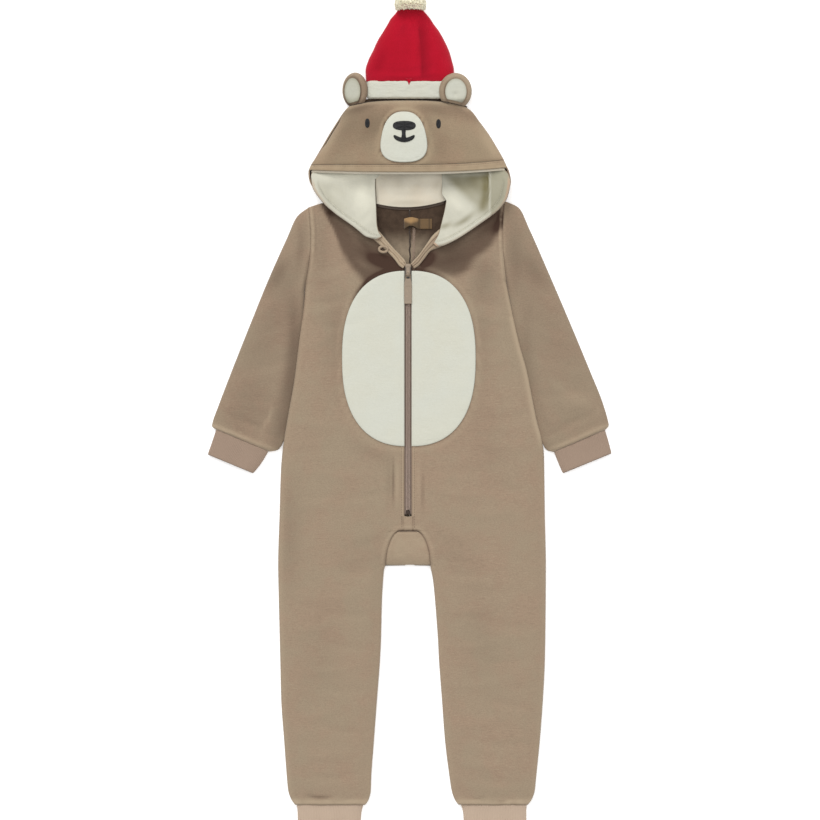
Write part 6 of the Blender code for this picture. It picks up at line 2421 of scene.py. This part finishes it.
# Each lamp: where it shines from, how many degrees it spreads over, and how strong it is
LAMPS = {
    "overhead softbox": ((0.1, 0.15, 1.0), 75, 1.55),
    "side softbox": ((-0.42, 1.0, 0.9), 30, 1.4),
}


def make_stage():
    """A plain floor, soft light from above and from the hood's side, and a camera straight overhead."""
    scene = bpy.context.scene
    bm = bmesh.new()
    bmesh.ops.create_grid(bm, x_segments=2, y_segments=2, size=FLOOR_HALF)
    bmesh.ops.translate(bm, vec=(0, 0, -FLOOR_DROP * MM), verts=bm.verts)
    floor = finished("floor", bm, "Pale floor")
    floor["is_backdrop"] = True

    world = bpy.data.worlds.new("white room")
    world.use_nodes = True
    background = world.node_tree.nodes["Background"]
    background.inputs["Color"].default_value = (1, 1, 1, 1)
    background.inputs["Strength"].default_value = ROOM_LIGHT
    scene.world = world

    for name, (spot, spread, power) in LAMPS.items():
        light = bpy.data.lights.new(name, "SUN")
        light.angle, light.energy = math.radians(spread), power
        lamp = bpy.data.objects.new(name, light)
        lamp.rotation_euler = Vector(spot).to_track_quat("Z", "Y").to_euler()
        scene.collection.objects.link(lamp)

    lens = bpy.data.cameras.new("overhead camera")
    lens.lens = LENS
    lens.clip_end = 20
    camera = bpy.data.objects.new("overhead camera", lens)
    camera.location = CAMERA
    scene.collection.objects.link(camera)
    scene.camera = camera
    scene.view_settings.view_transform = "Standard"


# ---------------------------------------------------------------- operators

class BearStep:
    """What each step of making the garment shares."""

    bl_options = {"REGISTER", "UNDO"}

    def execute(self, context):
        self.make()
        return {"FINISHED"}


class AddFronts(BearStep, bpy.types.Operator):
    """Add the two fronts, the gusset between the legs and the belly patch"""

    bl_idname = "bear.add_fronts"
    bl_label = "Fronts"

    def make(self):
        for side in SIDES:
            make_front(side)
            make_belly(side)
            make_neck_facing(side)
        make_gusset()
        make_neck_loop()


class AddBacks(BearStep, bpy.types.Operator):
    """Add the two backs, with the tape and the label inside the neck"""

    bl_idname = "bear.add_backs"
    bl_label = "Backs"

    def make(self):
        for side in SIDES:
            make_back(side)
        make_neck_tape()
        make_neck_label()
        make_back_neck_seams()


class AddSleeves(BearStep, bpy.types.Operator):
    """Add the two sleeves"""

    bl_idname = "bear.add_sleeves"
    bl_label = "Sleeves"

    def make(self):
        for side in SIDES:
            make_sleeve(side)


class AddCuffs(BearStep, bpy.types.Operator):
    """Add the four ribbed cuffs"""

    bl_idname = "bear.add_cuffs"
    bl_label = "Cuffs"

    def make(self):
        for side in SIDES:
            make_cuff(f"{side}_sleeve_cuff", f"sleeve_cuff_{side}", SLEEVE_CUFF[side], SIGN[side], "Tan rib")
            make_cuff(f"{side}_leg_cuff", f"leg_cuff_{side}", LEG_CUFF[side], SIGN[side], "Pale rib")


class AddHood(BearStep, bpy.types.Operator):
    """Add the hood, its brim, its sides and its lining"""

    bl_idname = "bear.add_hood"
    bl_label = "Hood"

    def make(self):
        make_hood_back()
        make_hood_face()
        make_hood_brim()
        make_lining_back()
        make_lining_crown()
        for side in SIDES:
            make_hood_side(side)


class AddFace(BearStep, bpy.types.Operator):
    """Add the bear's two ears, its muzzle and its stitched face"""

    bl_idname = "bear.add_face"
    bl_label = "Bear's face"

    def make(self):
        for side in SIDES:
            make_ear(side)
        make_face()


class AddHat(BearStep, bpy.types.Operator):
    """Add the small hat with its plush band and its pompom"""

    bl_idname = "bear.add_hat"
    bl_label = "Hat"

    def make(self):
        make_hat()
        make_hat_band()
        make_pompom()


class AddZip(BearStep, bpy.types.Operator):
    """Add the zip: its tapes, teeth, stop, slider and pull"""

    bl_idname = "bear.add_zip"
    bl_label = "Zip"

    def make(self):
        make_zip()
        make_slider()
        make_pull()


class AddStitching(BearStep, bpy.types.Operator):
    """Add the topstitches"""

    bl_idname = "bear.add_stitching"
    bl_label = "Topstitches"

    def make(self):
        make_stitching()


class SetStage(BearStep, bpy.types.Operator):
    """Set up the floor, the light and the camera"""

    bl_idname = "bear.set_stage"
    bl_label = "Stage"

    def make(self):
        make_stage()


STEPS = (
    AddFronts, AddBacks, AddSleeves, AddCuffs, AddHood, AddFace, AddHat, AddZip, AddStitching, SetStage,
)


class BearPanel(bpy.types.Panel):
    """The steps, the sizes and the colours of the garment"""

    bl_idname = "VIEW3D_PT_bear"
    bl_label = "Bear all-in-one"
    bl_space_type = "VIEW_3D"
    bl_region_type = "UI"
    bl_category = "Bear"

    def draw(self, context):
        for step in STEPS:
            self.layout.operator(step.bl_idname)
        for settings in (context.scene.bear_sizes, context.scene.bear_colours):
            box = self.layout.box()
            for name in settings.__annotations__:
                box.prop(settings, name)


CLASSES = (BearSizes, BearColours, *STEPS, BearPanel)


def register():
    for each in CLASSES:
        bpy.utils.register_class(each)
    bpy.types.Scene.bear_sizes = bpy.props.PointerProperty(type=BearSizes)
    bpy.types.Scene.bear_colours = bpy.props.PointerProperty(type=BearColours)


def unregister():
    del bpy.types.Scene.bear_colours
    del bpy.types.Scene.bear_sizes
    for each in reversed(CLASSES):
        bpy.utils.unregister_class(each)


def main():
    register()
    for step in STEPS:
        group, name = step.bl_idname.split(".")
        getattr(getattr(bpy.ops, group), name)()
    boxes = {
        name: [[round(value, 6) for value in corner] for corner in box]
        for name, box in (("cad", cad_box), ("visual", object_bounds()))
    }


if __name__ == "__main__":
    main()
